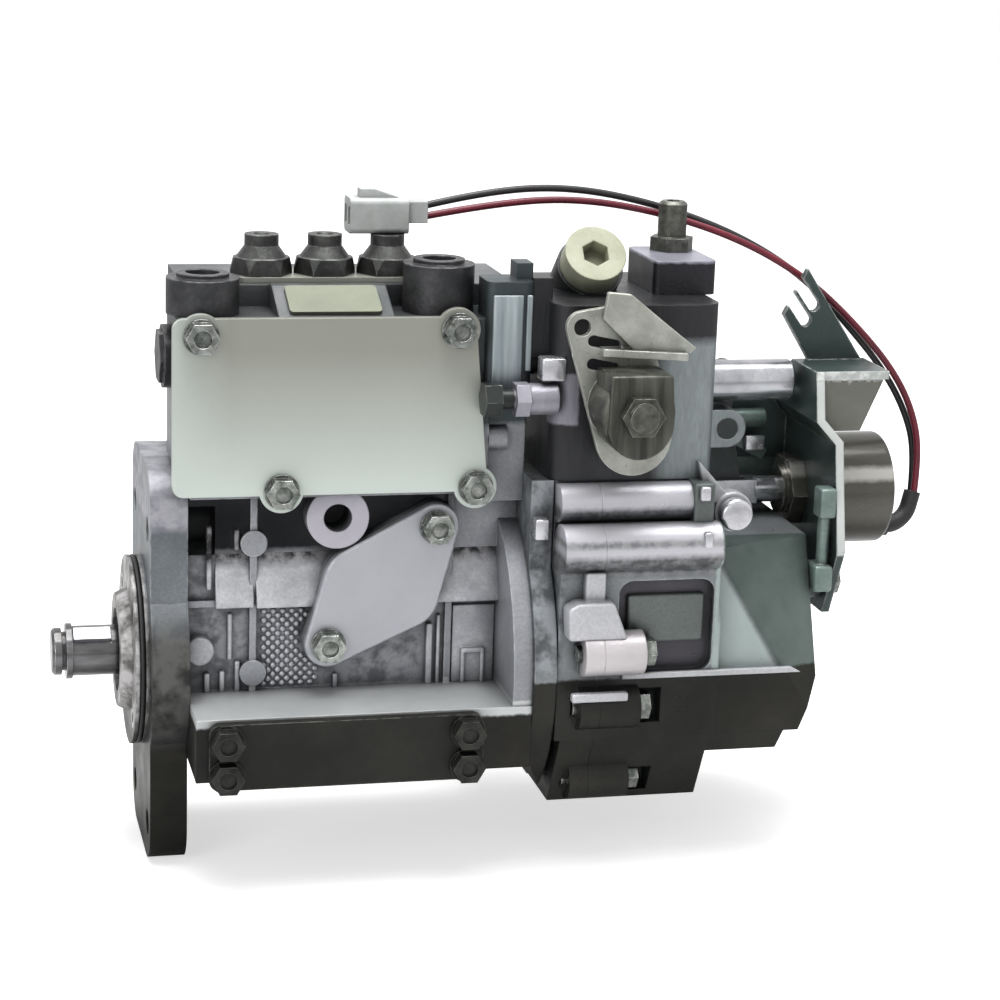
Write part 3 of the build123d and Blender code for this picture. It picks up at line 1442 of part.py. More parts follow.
# ---- Speed lever ----
def lever_plane_y():
    """Back face of the lever plate."""
    return case_front_y - lever_boss_len - free_gap


def speed_lever():
    """Stamped lever with two windows, a folded wing, its spring barrel and nut."""
    y1 = lever_plane_y()
    y0 = y1 - lever_plate_t
    foot = (lever_x + lever_foot_shift, lever_z - lever_foot_drop, lever_foot_r)
    corner_z = lever_z + lever_arm_top - lever_corner_r
    left = (lever_x - lever_reach_left, corner_z, lever_corner_r)
    right = (lever_x + lever_reach_right, corner_z + lever_top_slope, lever_corner_r)
    plate = along_y(hull_of(foot, left, right), y0, y1)
    for drop in lever_window_drops:
        window = Pos(lever_x - lever_window_left, lever_z + lever_arm_top - drop)
        window = window * Rot(0, 0, -lever_window_turn)
        plate -= along_y(window * SlotOverall(lever_window_len, lever_window_w), y0, y1)
    plate -= rod_y(y0, y1, left[0], left[1], lever_cable_hole_r)
    wing_z = lever_z + lever_wing_rise
    wing = outline(
        (lever_x - lever_wing_left, y1), (lever_x + lever_wing_right, y1),
        (lever_x + lever_wing_right, y1 - lever_wing_deep), (lever_x - lever_wing_left, y1 - lever_wing_tip),
    )
    plate += along_z(wing, wing_z, wing_z + lever_plate_t)
    hub_y0 = y0 - lever_hub_len
    barrel = rod_y(hub_y0, y0, lever_x, lever_z, lever_hub_r)
    rim = barrel.edges().filter_by(GeomType.CIRCLE).sort_by(Axis.Y)[0]
    barrel = fillet(rim, lever_hub_round)
    plate += barrel
    return plate - rod_y(hub_y0, y1, lever_x, lever_z, lever_shaft_r + seat_gap)


def speed_lever_shaft():
    """Shaft through the case wall, with the inner arm that loads the governor spring and the outer nut."""
    hub_y0 = lever_plane_y() - lever_plate_t - lever_hub_len
    arm_y1 = case_front_y + case_wall + free_gap + inner_arm_t
    shaft = rod_y(hub_y0 - lever_nut_h - lever_shaft_proud, arm_y1, lever_x, lever_z, lever_shaft_r)
    root = (lever_x, lever_z, inner_arm_root_r)
    arm = hull_of(root, (lever_x + inner_arm_len, lever_z + inner_arm_rise, inner_arm_tip_r))
    shaft += along_y(arm, arm_y1 - inner_arm_t, arm_y1)
    nut = along_y(hexagon(2 * lever_nut_r, lever_x, lever_z), hub_y0 - lever_nut_h, hub_y0)
    nut -= rod_y(hub_y0 - lever_nut_h, hub_y0, lever_x, lever_z, lever_shaft_r)
    return shaft, nut


# ---- Governor works ----
def flyweight_carrier():
    """Disc on the camshaft's end with two pairs of lugs and the pins through them."""
    x1 = carrier_x + carrier_t
    disc = rod_x(carrier_x, x1, 0, 0, carrier_r)
    lug_y0 = weight_w / 2 + free_gap
    lug_y1 = lug_y0 + carrier_lug_t
    for side in (-1, 1):
        inner_z = side * (weight_pin_ring_r - weight_pin_r - carrier_lug_in)
        outer_z = side * (weight_pin_ring_r + weight_pin_r + carrier_lug_out)
        z0, z1 = sorted((inner_z, outer_z))
        for y0, y1 in ((-lug_y1, -lug_y0), (lug_y0, lug_y1)):
            disc += block(x1 - lap, weight_pivot_x + weight_pin_r + carrier_lug_out, y0, y1, z0, z1)
    disc -= rod_x(carrier_x, x1, 0, 0, carrier_seat_r + seat_gap)
    pins = []
    for side in (-1, 1):
        z = side * weight_pin_ring_r
        disc -= rod_y(-lug_y1, lug_y1, weight_pivot_x, z, weight_pin_r + seat_gap)
        pins.append(rod_y(-lug_y1, lug_y1, weight_pivot_x, z, weight_pin_r))
    return [disc, *pins]


def flyweight(side):
    """Bell-crank weight: the mass lies along the shaft, the toe pushes the thrust sleeve."""
    half = weight_w / 2
    x = weight_pivot_x
    z = weight_pin_ring_r
    near = (x + weight_mass_lean, z + weight_mass_rise, weight_corner_r)
    far = (x + weight_mass_len - weight_corner_r, z + weight_mass_rise, weight_corner_r)
    mass = hull_of((x, z, weight_eye_r), near, far)
    tip_r = weight_toe_t / 2
    tip_x = thrust_x - free_gap - tip_r
    toe = hull_of((x, z, weight_toe_root_r), (tip_x, z - weight_toe_reach, tip_r))
    weight = along_y(mass, -half, half) + along_y(toe, -half / 2, half / 2)
    weight -= rod_y(-half, half, x, z, weight_pin_r + slide_gap)
    return weight if side > 0 else weight.rotate(Axis.X, 180)


def thrust_sleeve():
    hub_x1 = thrust_x + thrust_flange_t + thrust_hub_len
    rim_r = thrust_flange_r - thrust_rim_bevel
    sleeve = Solid.make_cone(
        rim_r, thrust_flange_r, thrust_rim_bevel, Plane(origin=(thrust_x, 0, 0), z_dir=(1, 0, 0))
    )
    sleeve += rod_x(thrust_x + thrust_rim_bevel, thrust_x + thrust_flange_t, 0, 0, thrust_flange_r)
    sleeve += rod_x(thrust_x, hub_x1, 0, 0, thrust_hub_r)
    half = thrust_groove_w / 2
    groove = rod_x(fulcrum_x - half, fulcrum_x + half, 0, 0, thrust_hub_r + lap)
    sleeve -= groove - rod_x(fulcrum_x - half, fulcrum_x + half, 0, 0, thrust_groove_r)
    return sleeve - rod_x(thrust_x, hub_x1, 0, 0, sleeve_journal_r + slide_gap)


def governor_lever():
    """Lever from the thrust sleeve to the rack, with its cross shaft, fork and rack pin."""
    y0 = link_y - lever_link_t
    half_w = lever_link_w / 2
    tine_y0 = thrust_groove_r + free_gap
    tine_y1 = tine_y0 + fork_tine_w
    fulcrum = (fulcrum_x, fulcrum_z, half_w + lever_link_boss)
    link = along_y(hull_of((fulcrum_x, rack_z, half_w), fulcrum, (fulcrum_x, fork_bar_z, half_w)), y0, link_y)
    link += block(
        fulcrum_x - half_w, fulcrum_x + half_w, -tine_y1, tine_y1, fork_bar_z - fork_bar_h / 2,
        fork_bar_z + fork_bar_h / 2,
    )
    for ya, yb in ((-tine_y1, -tine_y0), (tine_y0, tine_y1)):
        half_t = fork_tine_t / 2
        link += block(fulcrum_x - half_t, fulcrum_x + half_t, ya, yb, -fork_tine_low, fork_bar_z)
    half_shaft = fulcrum_span / 2 + fulcrum_seat
    link += rod_y(-half_shaft, half_shaft, fulcrum_x, fulcrum_z, fulcrum_r)
    return link + rod_y(rack_y - rack_head_t / 2 + link_pin_inset, link_y, fulcrum_x, rack_z, link_pin_r)


# ---- Cable bracket ----
def cable_bracket():
    """Bent sheet: upright with a jog, shelf over a web, forked plate, and an arm towards the case."""
    profile = outline(
        (shelf_left_x, shelf_z), (shelf_left_x, jog_z_high), (plate_x, jog_z_low), (plate_x, bracket_low_z),
        (plate_x + sheet_t, bracket_low_z), (plate_x + sheet_t, jog_z_low + jog_lift),
        (shelf_left_x + sheet_t, jog_z_high + jog_lift), (shelf_left_x + sheet_t, shelf_z),
    )
    upright = along_y(profile, bracket_toe_y, bracket_back_y)
    side = outline(
        (shelf_front_y, shelf_z), (bracket_waist_y, bracket_waist_z), (bracket_toe_y, bracket_toe_z),
        (bracket_toe_y + bracket_toe_round, bracket_low_z), (bracket_back_y, bracket_low_z),
        (bracket_back_y, jog_z_high), (shelf_back_y, shelf_z),
    )
    bracket = upright & along_x(side, shelf_left_x - lap, plate_x + sheet_t + lap)
    bracket += block(shelf_left_x, shelf_right_x, shelf_front_y, shelf_back_y, shelf_z - sheet_t, shelf_z)
    web = outline(
        (shelf_left_x, shelf_z - sheet_t), (shelf_right_x - web_end_in, shelf_z - sheet_t),
        (plate_x + web_foot_w + sheet_t, shelf_z - web_drop), (plate_x, shelf_z - web_drop),
        (shelf_left_x, jog_z_high),
    )
    bracket += along_y(web, shelf_front_y, shelf_front_y + sheet_t)
    bracket += block(case_right_x + free_gap, plate_x + lap, arm_y, arm_y + sheet_t, arm_low_z, arm_high_z)
    bracket += along_y(cable_fork(), shelf_back_y - sheet_t, shelf_back_y)
    bracket -= rod_x(plate_x, plate_x + sheet_t, solenoid_y, solenoid_z, solenoid_nose_r + free_gap)
    for y in (foot_front_y, foot_back_y):
        bracket -= rod_x(plate_x, plate_x + sheet_t, y, foot_z, m6_r + free_gap)
    return bracket


def cable_fork():
    """Leaning plate with two open slots for cable ends."""
    low_right = (shelf_right_x, shelf_z - sheet_t)
    low_left = (shelf_right_x - fork_w, shelf_z - sheet_t)
    tip = (shelf_right_x - fork_lean, shelf_z + fork_rise)
    share = (fork_rise - fork_step) / fork_rise
    left_tip = (low_left[0] - fork_lean * share, shelf_z + fork_rise * share)
    plate = outline(low_left, low_right, tip, left_tip)
    lean = degrees(atan2(fork_lean, fork_rise))
    for part in (1, 2):
        u = tip[0] + (left_tip[0] - tip[0]) * part / 3
        v = tip[1] + (left_tip[1] - tip[1]) * part / 3
        plate -= Pos(u, v) * Rot(0, 0, lean) * SlotOverall(2 * fork_slot_len, fork_slot_w, rotation=90)
    return plate


def bracket_screws():
    grip = sheet_t + m6_grip - free_gap
    return [screw_x(y, foot_z, plate_x + sheet_t, grip, 2 * m6_head_r) for y in (foot_front_y, foot_back_y)]


# ---- Stop solenoid and stop lever ----
def solenoid_body():
    """Drawn steel can with a crimped end, and its threaded nose through the bracket with the nut."""
    x0 = plate_x + sheet_t
    can = rod_x(x0, x0 + solenoid_len, solenoid_y, solenoid_z, solenoid_r)
    rim = can.edges().filter_by(GeomType.CIRCLE).sort_by(Axis.X)[-1]
    can = fillet(rim, solenoid_round)
    nose_x0 = x0 - solenoid_nose_len
    can += rod_x(nose_x0, x0, solenoid_y, solenoid_z, solenoid_nose_r)
    can -= rod_x(nose_x0, x0 + solenoid_bore_end, solenoid_y, solenoid_z, plunger_rod_r + slide_gap)
    nut = along_x(hexagon(2 * solenoid_nut_r, solenoid_y, solenoid_z), plate_x - solenoid_nut_t, plate_x)
    return can, nut - rod_x(plate_x - solenoid_nut_t, plate_x, solenoid_y, solenoid_z, solenoid_nose_r)


def solenoid_plunger():
    """Plunger with the clevis that works the stop lever."""
    y0 = solenoid_y - clevis_w / 2
    y1 = solenoid_y + clevis_w / 2
    x0 = clevis_pin_x - clevis_left
    x1 = clevis_pin_x + clevis_right
    clevis = block(x0, x1, y0, y1, solenoid_z - clevis_w / 2, solenoid_z + clevis_w / 2)
    gap = clevis_gap / 2
    clevis -= block(
        x0, clevis_pin_x + clevis_room, solenoid_y - gap, solenoid_y + gap, solenoid_z - clevis_w,
        solenoid_z + clevis_w,
    )
    clevis += rod_x(x1 - lap, plunger_end_x, solenoid_y, solenoid_z, plunger_rod_r)
    return clevis + rod_y(y0, y1, clevis_pin_x, solenoid_z, clevis_pin_r)


def stop_lever():
    """Lever on the case's lug, slotted for the clevis pin, with a hand arm above and its shaft."""
    y0 = solenoid_y - stop_lever_t / 2
    y1 = solenoid_y + stop_lever_t / 2
    drop = stop_pivot_z - solenoid_z
    near = hypot(clevis_pin_x - stop_pivot_x, drop)
    far = hypot(clevis_pin_x + solenoid_stroke - stop_pivot_x, drop)
    angle = atan2(clevis_pin_x - stop_pivot_x, drop)
    way = Vector(sin(angle), -cos(angle))
    pivot = Vector(stop_pivot_x, stop_pivot_z)
    end = pivot + way * far
    arm = hull_of((pivot.X, pivot.Y, stop_boss_r), (end.X, end.Y, stop_lever_w / 2))
    hand = hull_of((pivot.X, pivot.Y, stop_boss_r), (stop_arm_x, stop_arm_z, stop_hand_r))
    lever = along_y(arm, y0, y1) + along_y(hand, y0, y1)
    slot_r = clevis_pin_r + stop_slot_room
    start = pivot + way * near
    lever -= along_y(hull_of((start.X, start.Y, slot_r), (end.X, end.Y, slot_r)), y0, y1)
    lever -= rod_y(y0, y1, stop_arm_x, stop_arm_z, stop_arm_hole_r)
    lever += rod_y(stop_lug_y1 + free_gap, y0, stop_pivot_x, stop_pivot_z, stop_spacer_r)
    return lever + rod_y(stop_lug_y0, y1 + stop_shaft_proud, stop_pivot_x, stop_pivot_z, stop_shaft_r)


# ---- Lead ----
def bend_radii(points):
    """0.45 of the shorter run at each corner, divided by the tangent of half the turn."""
    radii = []
    for before, here, after in zip(points, points[1:], points[2:]):
        run_in = Vector(*here) - Vector(*before)
        run_out = Vector(*after) - Vector(*here)
        half_turn = radians(run_in.get_angle(run_out)) / 2
        radii.append(bend_share * min(run_in.length, run_out.length) / tan(half_turn))
    return radii


def tube(points, radius, name):
    radii = bend_radii(points)
    path = FilletPolyline(*points, radius=radii)
    section = Plane(origin=path @ 0, z_dir=path % 0) * Circle(radius)
    solid = sweep(section, path=path)
    expected = path.length * section.area
    print(name, "length", round(path.length, 1), "volume share", round(solid.volume / expected, 4),
          "radii", [round(r, 1) for r in radii])
    return solid


def wire_path(side):
    """One wire of the pair: side is -1 for the red wire in front and +1 for the black one behind it."""
    return [
        (x + side * dx, y + side * dy, z + side * dz)
        for (x, y, z), (dx, dy, dz) in zip(lead_path, lead_spread)
    ]


def lead_sleeve():
    """Moulded sleeve from the solenoid's end, with a collar at its root."""
    sleeve = tube(sleeve_path, sleeve_end_r, "lead_sleeve")
    x, y, z = sleeve_path[0]
    return sleeve + rod_x(x, x + sleeve_collar_len, y, z, sleeve_root_r)


def lead_connector():
    """Two-way plug lying on a delivery valve holder, with two narrow terminal slots at its free end."""
    x1, y, z = lead_path[-1]
    x0 = x1 - plug_len
    low_z = holder_top_z
    high_z = low_z + plug_h
    tail_x = x1 - plug_tail_len
    half_tail_w = plug_tail_w / 2
    half_tail_h = plug_tail_h / 2
    shell = along_x(rounded(y - plug_w / 2, y + plug_w / 2, low_z, high_z, plug_corner_r), x0, tail_x)
    shell += block(tail_x - lap, x1, y - half_tail_w, y + half_tail_w, z - half_tail_h, z + half_tail_h)
    latch_x0 = x0 + plug_latch_in
    latch_x1 = latch_x0 + plug_latch_len
    latch = outline(
        (latch_x0, high_z - lap), (latch_x0, high_z + plug_latch_h), (latch_x1, high_z + plug_latch_h),
        (tail_x, high_z - lap),
    )
    shell += along_y(latch, y - plug_w / 4, y + plug_w / 4)
    middle_z = (low_z + high_z) / 2
    for side in (-1, 1):
        slot_y = y + side * plug_w / 4
        shell -= block(x0, x0 + plug_slot_deep, slot_y - plug_slot_w / 2, slot_y + plug_slot_w / 2,
                       middle_z - plug_h / 4, middle_z + plug_h / 4)
    return shell


if __name__ == "__main__":
    os.makedirs("parts", exist_ok=True)
    save("mounting_flange", mounting_flange())
    save("flange_screws", *flange_screws())
    save("pilot_o_ring", pilot_o_ring())
    save("bearing_outer_rings", *bearing_outer_rings())
    save("bearing_cores", *bearing_cores())
    save("shaft_oil_seal", shaft_oil_seal())
    save("camshaft", camshaft())
    save("camshaft_key", camshaft_key())
    save("pump_body", pump_body())
    save("side_cover_gasket", side_cover_gasket())
    save("side_cover_plate", side_cover_plate())
    save("oval_cover_gasket", oval_cover_gasket())
    save("oval_cover_plate", oval_cover_plate())
    save("cover_screws", *cover_screws())
    save("sump_cover", sump_cover())
    save("sump_cover_screws", *sump_cover_screws())
    save("tappets", *tappets())
    save("plunger_springs", *plunger_springs())
    save("plunger_barrels", *plunger_barrels())
    save("delivery_valves", *delivery_valves())
    for i in range(element_count):
        save(f"plunger_{i + 1}", plunger(i))
        save(f"control_sleeve_{i + 1}", control_sleeve(i))
        save(f"delivery_valve_holder_{i + 1}", delivery_valve_holder(i))
    save("holder_lock_plate", holder_lock_plate())
    save("control_rack", control_rack())
    save("rack_end_cap", rack_end_cap())
    save("fuel_inlet_eye", fuel_eye(*inlet_eye()))
    save("fuel_outlet_eye", fuel_eye(*outlet_eye()))
    save("name_plate", name_plate())
    save("governor_housing", governor_housing())
    save("governor_cover", governor_cover())
    save("governor_screws", *governor_screws())
    save("upper_case", upper_case())
    save("filler_cap", filler_cap())
    save("top_block", top_block())
    save("overflow_valve", overflow_valve())
    save("load_screw", *load_screw())
    save("torque_limiter", torque_limiter())
    save("speed_lever", speed_lever())
    save("speed_lever_shaft", *speed_lever_shaft())
    save("flyweight_carrier", *flyweight_carrier())
    save("flyweight_top", flyweight(1))
    save("flyweight_bottom", flyweight(-1))
    save("thrust_sleeve", thrust_sleeve())
    save("governor_lever", governor_lever())
    save("cable_bracket", cable_bracket())
    save("bracket_screws", *bracket_screws())
    save("solenoid_body", *solenoid_body())
    save("solenoid_plunger", solenoid_plunger())
    save("stop_lever", stop_lever())
    save("lead_sleeve", lead_sleeve())
    save("red_lead", tube(wire_path(-1), wire_r, "red_lead"))
    save("black_lead", tube(wire_path(1), wire_r, "black_lead"))
    save("lead_connector", lead_connector())
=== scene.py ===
import json
from math import cos, pi, radians, sin

import bmesh
import bpy
from mathutils import Matrix, Vector


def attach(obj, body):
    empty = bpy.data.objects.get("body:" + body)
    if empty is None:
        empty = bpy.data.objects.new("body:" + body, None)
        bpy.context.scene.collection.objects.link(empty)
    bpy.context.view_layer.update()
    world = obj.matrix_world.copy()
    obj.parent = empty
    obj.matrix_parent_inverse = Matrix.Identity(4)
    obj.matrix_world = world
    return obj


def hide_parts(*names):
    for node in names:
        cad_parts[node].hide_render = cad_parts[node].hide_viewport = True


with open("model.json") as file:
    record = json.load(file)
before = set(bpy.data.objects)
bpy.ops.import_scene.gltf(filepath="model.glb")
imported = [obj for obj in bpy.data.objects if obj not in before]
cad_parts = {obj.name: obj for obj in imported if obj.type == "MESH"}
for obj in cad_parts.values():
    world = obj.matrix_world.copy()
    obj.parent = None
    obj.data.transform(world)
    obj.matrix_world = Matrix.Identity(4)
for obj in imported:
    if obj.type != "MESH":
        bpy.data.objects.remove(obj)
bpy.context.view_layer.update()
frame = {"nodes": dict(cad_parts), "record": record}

# Places and sizes of the object's pieces are in millimetres, and MM turns them into metres.
# The camera, floor and lamps are in metres.
MM = 0.001
NODES = frame["nodes"]
scene = bpy.context.scene
scene.view_settings.view_transform = "Standard"


# ---- Camera ----
CAMERA_AT = Vector((-0.0844, -0.8646, 0.2738))
CAMERA_AZ = radians(-14)
CAMERA_EL = radians(14)
CAMERA_ROLL = radians(2)
LENS_MM = 90
SENSOR_MM = 36
CLIP_START = 0.02


def make_camera():
    back = Vector((sin(CAMERA_AZ) * cos(CAMERA_EL), -cos(CAMERA_AZ) * cos(CAMERA_EL), sin(CAMERA_EL)))
    level = Vector((cos(CAMERA_AZ), sin(CAMERA_AZ), 0))
    upright = back.cross(level)
    right = level * cos(CAMERA_ROLL) + upright * sin(CAMERA_ROLL)
    up = upright * cos(CAMERA_ROLL) - level * sin(CAMERA_ROLL)
    data = bpy.data.cameras.new("camera")
    data.lens = LENS_MM
    data.sensor_width = SENSOR_MM
    data.clip_start = CLIP_START
    camera = bpy.data.objects.new("camera", data)
    turn = Matrix((right, up, back)).transposed().to_4x4()
    camera.matrix_world = Matrix.Translation(CAMERA_AT) @ turn
    scene.collection.objects.link(camera)
    scene.camera = camera


make_camera()


# ---- Leads: the same route points as in the part's source ----
CAN_END_X = 279.0
CASE_LEFT_X = 137.0
CASE_RIGHT_X = 197.0
PLUG_END_X = 101.0
WIRE_R = 1.3
LEAD_PATH = (
    (CAN_END_X + 14.5, 0.0, 51.0), (CAN_END_X + 16.5, 3.0, 66.0), (CAN_END_X + 12.5, 5.0, 82.0),
    (CAN_END_X + 3.0, 6.0, 98.0), (CAN_END_X - 14.0, 5.0, 116.0), (CAN_END_X - 33.0, 3.0, 133.0),
    (CASE_RIGHT_X + 24.0, 6.0, 147.5), (CASE_RIGHT_X - 6.0, 12.5, 157.5), (CASE_LEFT_X + 20.0, 11.0, 163.5),
    (PLUG_END_X + 24.0, 7.0, 162.0), (PLUG_END_X, 4.0, 157.5),
)
# How far the black wire lies from each point of the route. The red wire lies as far on the other side.
LEAD_SPREAD = (
    (0.0, 1.6, 0.0), (-0.3, 1.6, 0.0), (-0.8, 1.5, -0.6), (-1.0, 1.6, -0.6), (-0.8, 1.7, -0.4),
    (-0.3, 1.8, 0.2), (0.0, 1.9, 0.6), (0.0, 1.9, 1.2), (0.0, 1.8, 1.8), (0.0, 1.6, 2.2), (0.0, 1.7, 1.6),
)
CURVE_STEPS = 12
SECTION_STEPS = 5


def spline_piece(name, points, radius):
    """One open NURBS curve through the route points, with a round section."""
    curve = bpy.data.curves.new(name, "CURVE")
    curve.dimensions = "3D"
    curve.resolution_u = CURVE_STEPS
    curve.bevel_depth = radius * MM
    curve.bevel_resolution = SECTION_STEPS
    curve.use_fill_caps = True
    spline = curve.splines.new("NURBS")
    spline.points.add(len(points) - 1)
    for point, place in zip(spline.points, points):
        point.co = (*(c * MM for c in place), 1)
    spline.order_u = 3
    spline.use_endpoint_u = True
    piece = bpy.data.objects.new(name, curve)
    scene.collection.objects.link(piece)
    return piece


def make_wire(name, side):
    points = [
        tuple(c + side * d for c, d in zip(place, spread)) for place, spread in zip(LEAD_PATH, LEAD_SPREAD)
    ]
    return spline_piece(name, points, WIRE_R), tuple(c * MM for c in points[0])


red_wire, red_exit = make_wire("red_wire", -1)
black_wire, black_exit = make_wire("black_wire", 1)


# ---- Material tools ----
def new_tree(name):
    material = bpy.data.materials.new(name)
    material.use_nodes = True
    tree = material.node_tree
    tree.nodes.clear()
    shader = tree.nodes.new("ShaderNodeBsdfPrincipled")
    output = tree.nodes.new("ShaderNodeOutputMaterial")
    tree.links.new(shader.outputs["BSDF"], output.inputs["Surface"])
    return material, tree, shader


def noise(tree, coords, scale, detail=4.0, rough=0.55, stretch=None):
    node = tree.nodes.new("ShaderNodeTexNoise")
    node.inputs["Scale"].default_value = scale
    node.inputs["Detail"].default_value = detail
    node.inputs["Roughness"].default_value = rough
    if stretch:
        mapping = tree.nodes.new("ShaderNodeMapping")
        mapping.inputs["Scale"].default_value = stretch
        tree.links.new(coords, mapping.inputs["Vector"])
        coords = mapping.outputs["Vector"]
    tree.links.new(coords, node.inputs["Vector"])
    return node.outputs["Fac"]


def mapped(tree, value, low, high, out_low=0.0, out_high=1.0):
    node = tree.nodes.new("ShaderNodeMapRange")
    node.inputs["From Min"].default_value = low
    node.inputs["From Max"].default_value = high
    node.inputs["To Min"].default_value = out_low
    node.inputs["To Max"].default_value = out_high
    tree.links.new(value, node.inputs["Value"])
    return node.outputs["Result"]


def blended(tree, factor, first, second):
    """Colour mix by a socket; first and second are colours or sockets."""
    node = tree.nodes.new("ShaderNodeMix")
    node.data_type = "RGBA"
    tree.links.new(factor, node.inputs["Factor"])
    for socket, value in ((node.inputs["A"], first), (node.inputs["B"], second)):
        if isinstance(value, tuple):
            socket.default_value = (*value, 1)
        else:
            tree.links.new(value, socket)
    return node.outputs["Result"]


def arithmetic(tree, operation, first, second):
    node = tree.nodes.new("ShaderNodeMath")
    node.operation = operation
    tree.links.new(first, node.inputs[0])
    tree.links.new(second, node.inputs[1])
    return node.outputs["Value"]


def dotted(tree, first, second):
    """Dot product of a socket with a socket or a constant vector."""
    node = tree.nodes.new("ShaderNodeVectorMath")
    node.operation = "DOT_PRODUCT"
    tree.links.new(first, node.inputs[0])
    if isinstance(second, tuple):
        node.inputs[1].default_value = second
    else:
        tree.links.new(second, node.inputs[1])
    return node.outputs["Value"]


def shaded(tone, share):
    return tuple(c * share for c in tone)


FAR = 900.0              # past the object on every side
RAGGED_SCALE = 420.0     # unevenness of a zone's border, and how far it strays, in metres
RAGGED_REACH = 0.0006


def zone(low, high, *limits, mottle=None):
    """Part of a surface with its own two tones, inside all its limits: (axis, low, high, soft edge) in mm.

    An axis is X, Y, Z or a slanting direction. mottle is the scale of the tones' spots, where they differ
    from the rest of the surface.
    """
    return low, high, limits, mottle


def zone_mask(tree, coords, limits):
    """1 inside every limit and 0 outside, with a slightly uneven border."""
    split = tree.nodes.new("ShaderNodeSeparateXYZ")
    tree.links.new(coords, split.inputs["Vector"])
    border = noise(tree, coords, RAGGED_SCALE, 2.0)
    ragged = mapped(tree, border, 0.0, 1.0, -RAGGED_REACH, RAGGED_REACH)
    mask = None
    for axis, low, high, soft in limits:
        along = split.outputs[axis] if isinstance(axis, str) else dotted(tree, coords, axis)
        place = arithmetic(tree, "ADD", along, ragged)
        above = mapped(tree, place, (low - soft) * MM, (low + soft) * MM)
        below = mapped(tree, place, (high + soft) * MM, (high - soft) * MM)
        band = arithmetic(tree, "MULTIPLY", above, below)
        mask = band if mask is None else arithmetic(tree, "MULTIPLY", mask, band)
    return mask


GRAIN_SHADE = 0.55       # the grain's dark specks, as a share of the low tone
CORNER_SHADE_SHARE = 0.12       # painted shade in corners, as a share of the low tone
WEAR_GLINT_START = 0.995       # cosine of the turn at an edge where the lighter edge, partly wear and partly a painted highlight, starts, and where it is full
WEAR_GLINT_FULL = 0.86
WEAR_GLINT_SCALE = 260.0
ROUGH_SCALE = 3.1        # the roughness's spots, finer than the blotches by this
BUMP_DEPTH = 0.0004      # metres
COAT_ROUGH = 0.15


def surface(
    name, low, high, metallic=1.0, rough=(0.3, 0.5), gloss=0.5, coat=0.0, round_edges=0.8,
    grain=(900.0, 0.25, 0.35), fine=None, blotch=18.0, stretch=None, wear_and_glint=None, corner_shade=0.6, corner_shade_reach=0.006,
    zones=(),
):
    """Procedural finish: two-tone blotches, grain bump, worn edges with a painted highlight, zones, and
    painted shade in the corners.

    low and high are the tones, and the worn edges' tone also paints a highlight along them; rough is the
    range of roughness.
    grain is its scale, height and how strongly it darkens, fine a second grain's scale, and blotch and
    stretch are the blotches' scale and its change along X, Y and Z. round_edges is in mm, and the reach of
    the painted shade in the corners in metres.
    """
    material, tree, shader = new_tree(name)
    coords = tree.nodes.new("ShaderNodeTexCoord").outputs["Object"]
    patch = mapped(tree, noise(tree, coords, blotch, 5.0, 0.6, stretch), 0.35, 0.65)
    colour = blended(tree, patch, low, high)
    grain_scale, grain_height, grain_mix = grain
    speck = noise(tree, coords, grain_scale, 3.0, 0.6, stretch)
    darker = mapped(tree, speck, 0.3, 0.7, 0.0, grain_mix)
    colour = blended(tree, darker, colour, shaded(low, GRAIN_SHADE))
    bevel = tree.nodes.new("ShaderNodeBevel")
    bevel.samples = 4
    bevel.inputs["Radius"].default_value = round_edges * MM
    # worn edges: partly real wear, partly a painted highlight along the edges
    if wear_and_glint:
        geometry = tree.nodes.new("ShaderNodeNewGeometry")
        turn = dotted(tree, bevel.outputs["Normal"], geometry.outputs["Normal"])
        edge = mapped(tree, turn, WEAR_GLINT_START, WEAR_GLINT_FULL)
        patchy = mapped(tree, noise(tree, coords, WEAR_GLINT_SCALE, 2.0), 0.35, 0.6)
        colour = blended(tree, arithmetic(tree, "MULTIPLY", edge, patchy), colour, wear_and_glint)
    for zone_low, zone_high, limits, mottle in zones:
        inside = zone_mask(tree, coords, limits)
        spots = mapped(tree, noise(tree, coords, mottle, 3.0, 0.6), 0.40, 0.60) if mottle else patch
        colour = blended(tree, inside, colour, blended(tree, spots, zone_low, zone_high))
    # painted shade: ambient occlusion darkens the colour in corners and creases, where shade falls
    occlusion = tree.nodes.new("ShaderNodeAmbientOcclusion")
    occlusion.samples = 6
    occlusion.inputs["Distance"].default_value = corner_shade_reach
    corner_shade_mix = mapped(tree, occlusion.outputs["AO"], 0.25, 0.9, corner_shade, 0.0)
    colour = blended(tree, corner_shade_mix, colour, shaded(low, CORNER_SHADE_SHARE))
    tree.links.new(colour, shader.inputs["Base Color"])
    shader.inputs["Metallic"].default_value = metallic
    shader.inputs["Specular IOR Level"].default_value = gloss
    smears = noise(tree, coords, blotch * ROUGH_SCALE, 4.0, 0.6, stretch)
    tree.links.new(mapped(tree, smears, 0.3, 0.7, *rough), shader.inputs["Roughness"])
    if coat:
        shader.inputs["Coat Weight"].default_value = coat
        shader.inputs["Coat Roughness"].default_value = COAT_ROUGH
    bump = tree.nodes.new("ShaderNodeBump")
    bump.inputs["Strength"].default_value = grain_height
    bump.inputs["Distance"].default_value = BUMP_DEPTH
    relief = speck
    if fine:
        relief = arithmetic(tree, "ADD", speck, noise(tree, coords, fine, 2.0, 0.5, stretch))
    tree.links.new(relief, bump.inputs["Height"])
    tree.links.new(bevel.outputs["Normal"], bump.inputs["Normal"])
    tree.links.new(bump.outputs["Normal"], shader.inputs["Normal"])
    return material


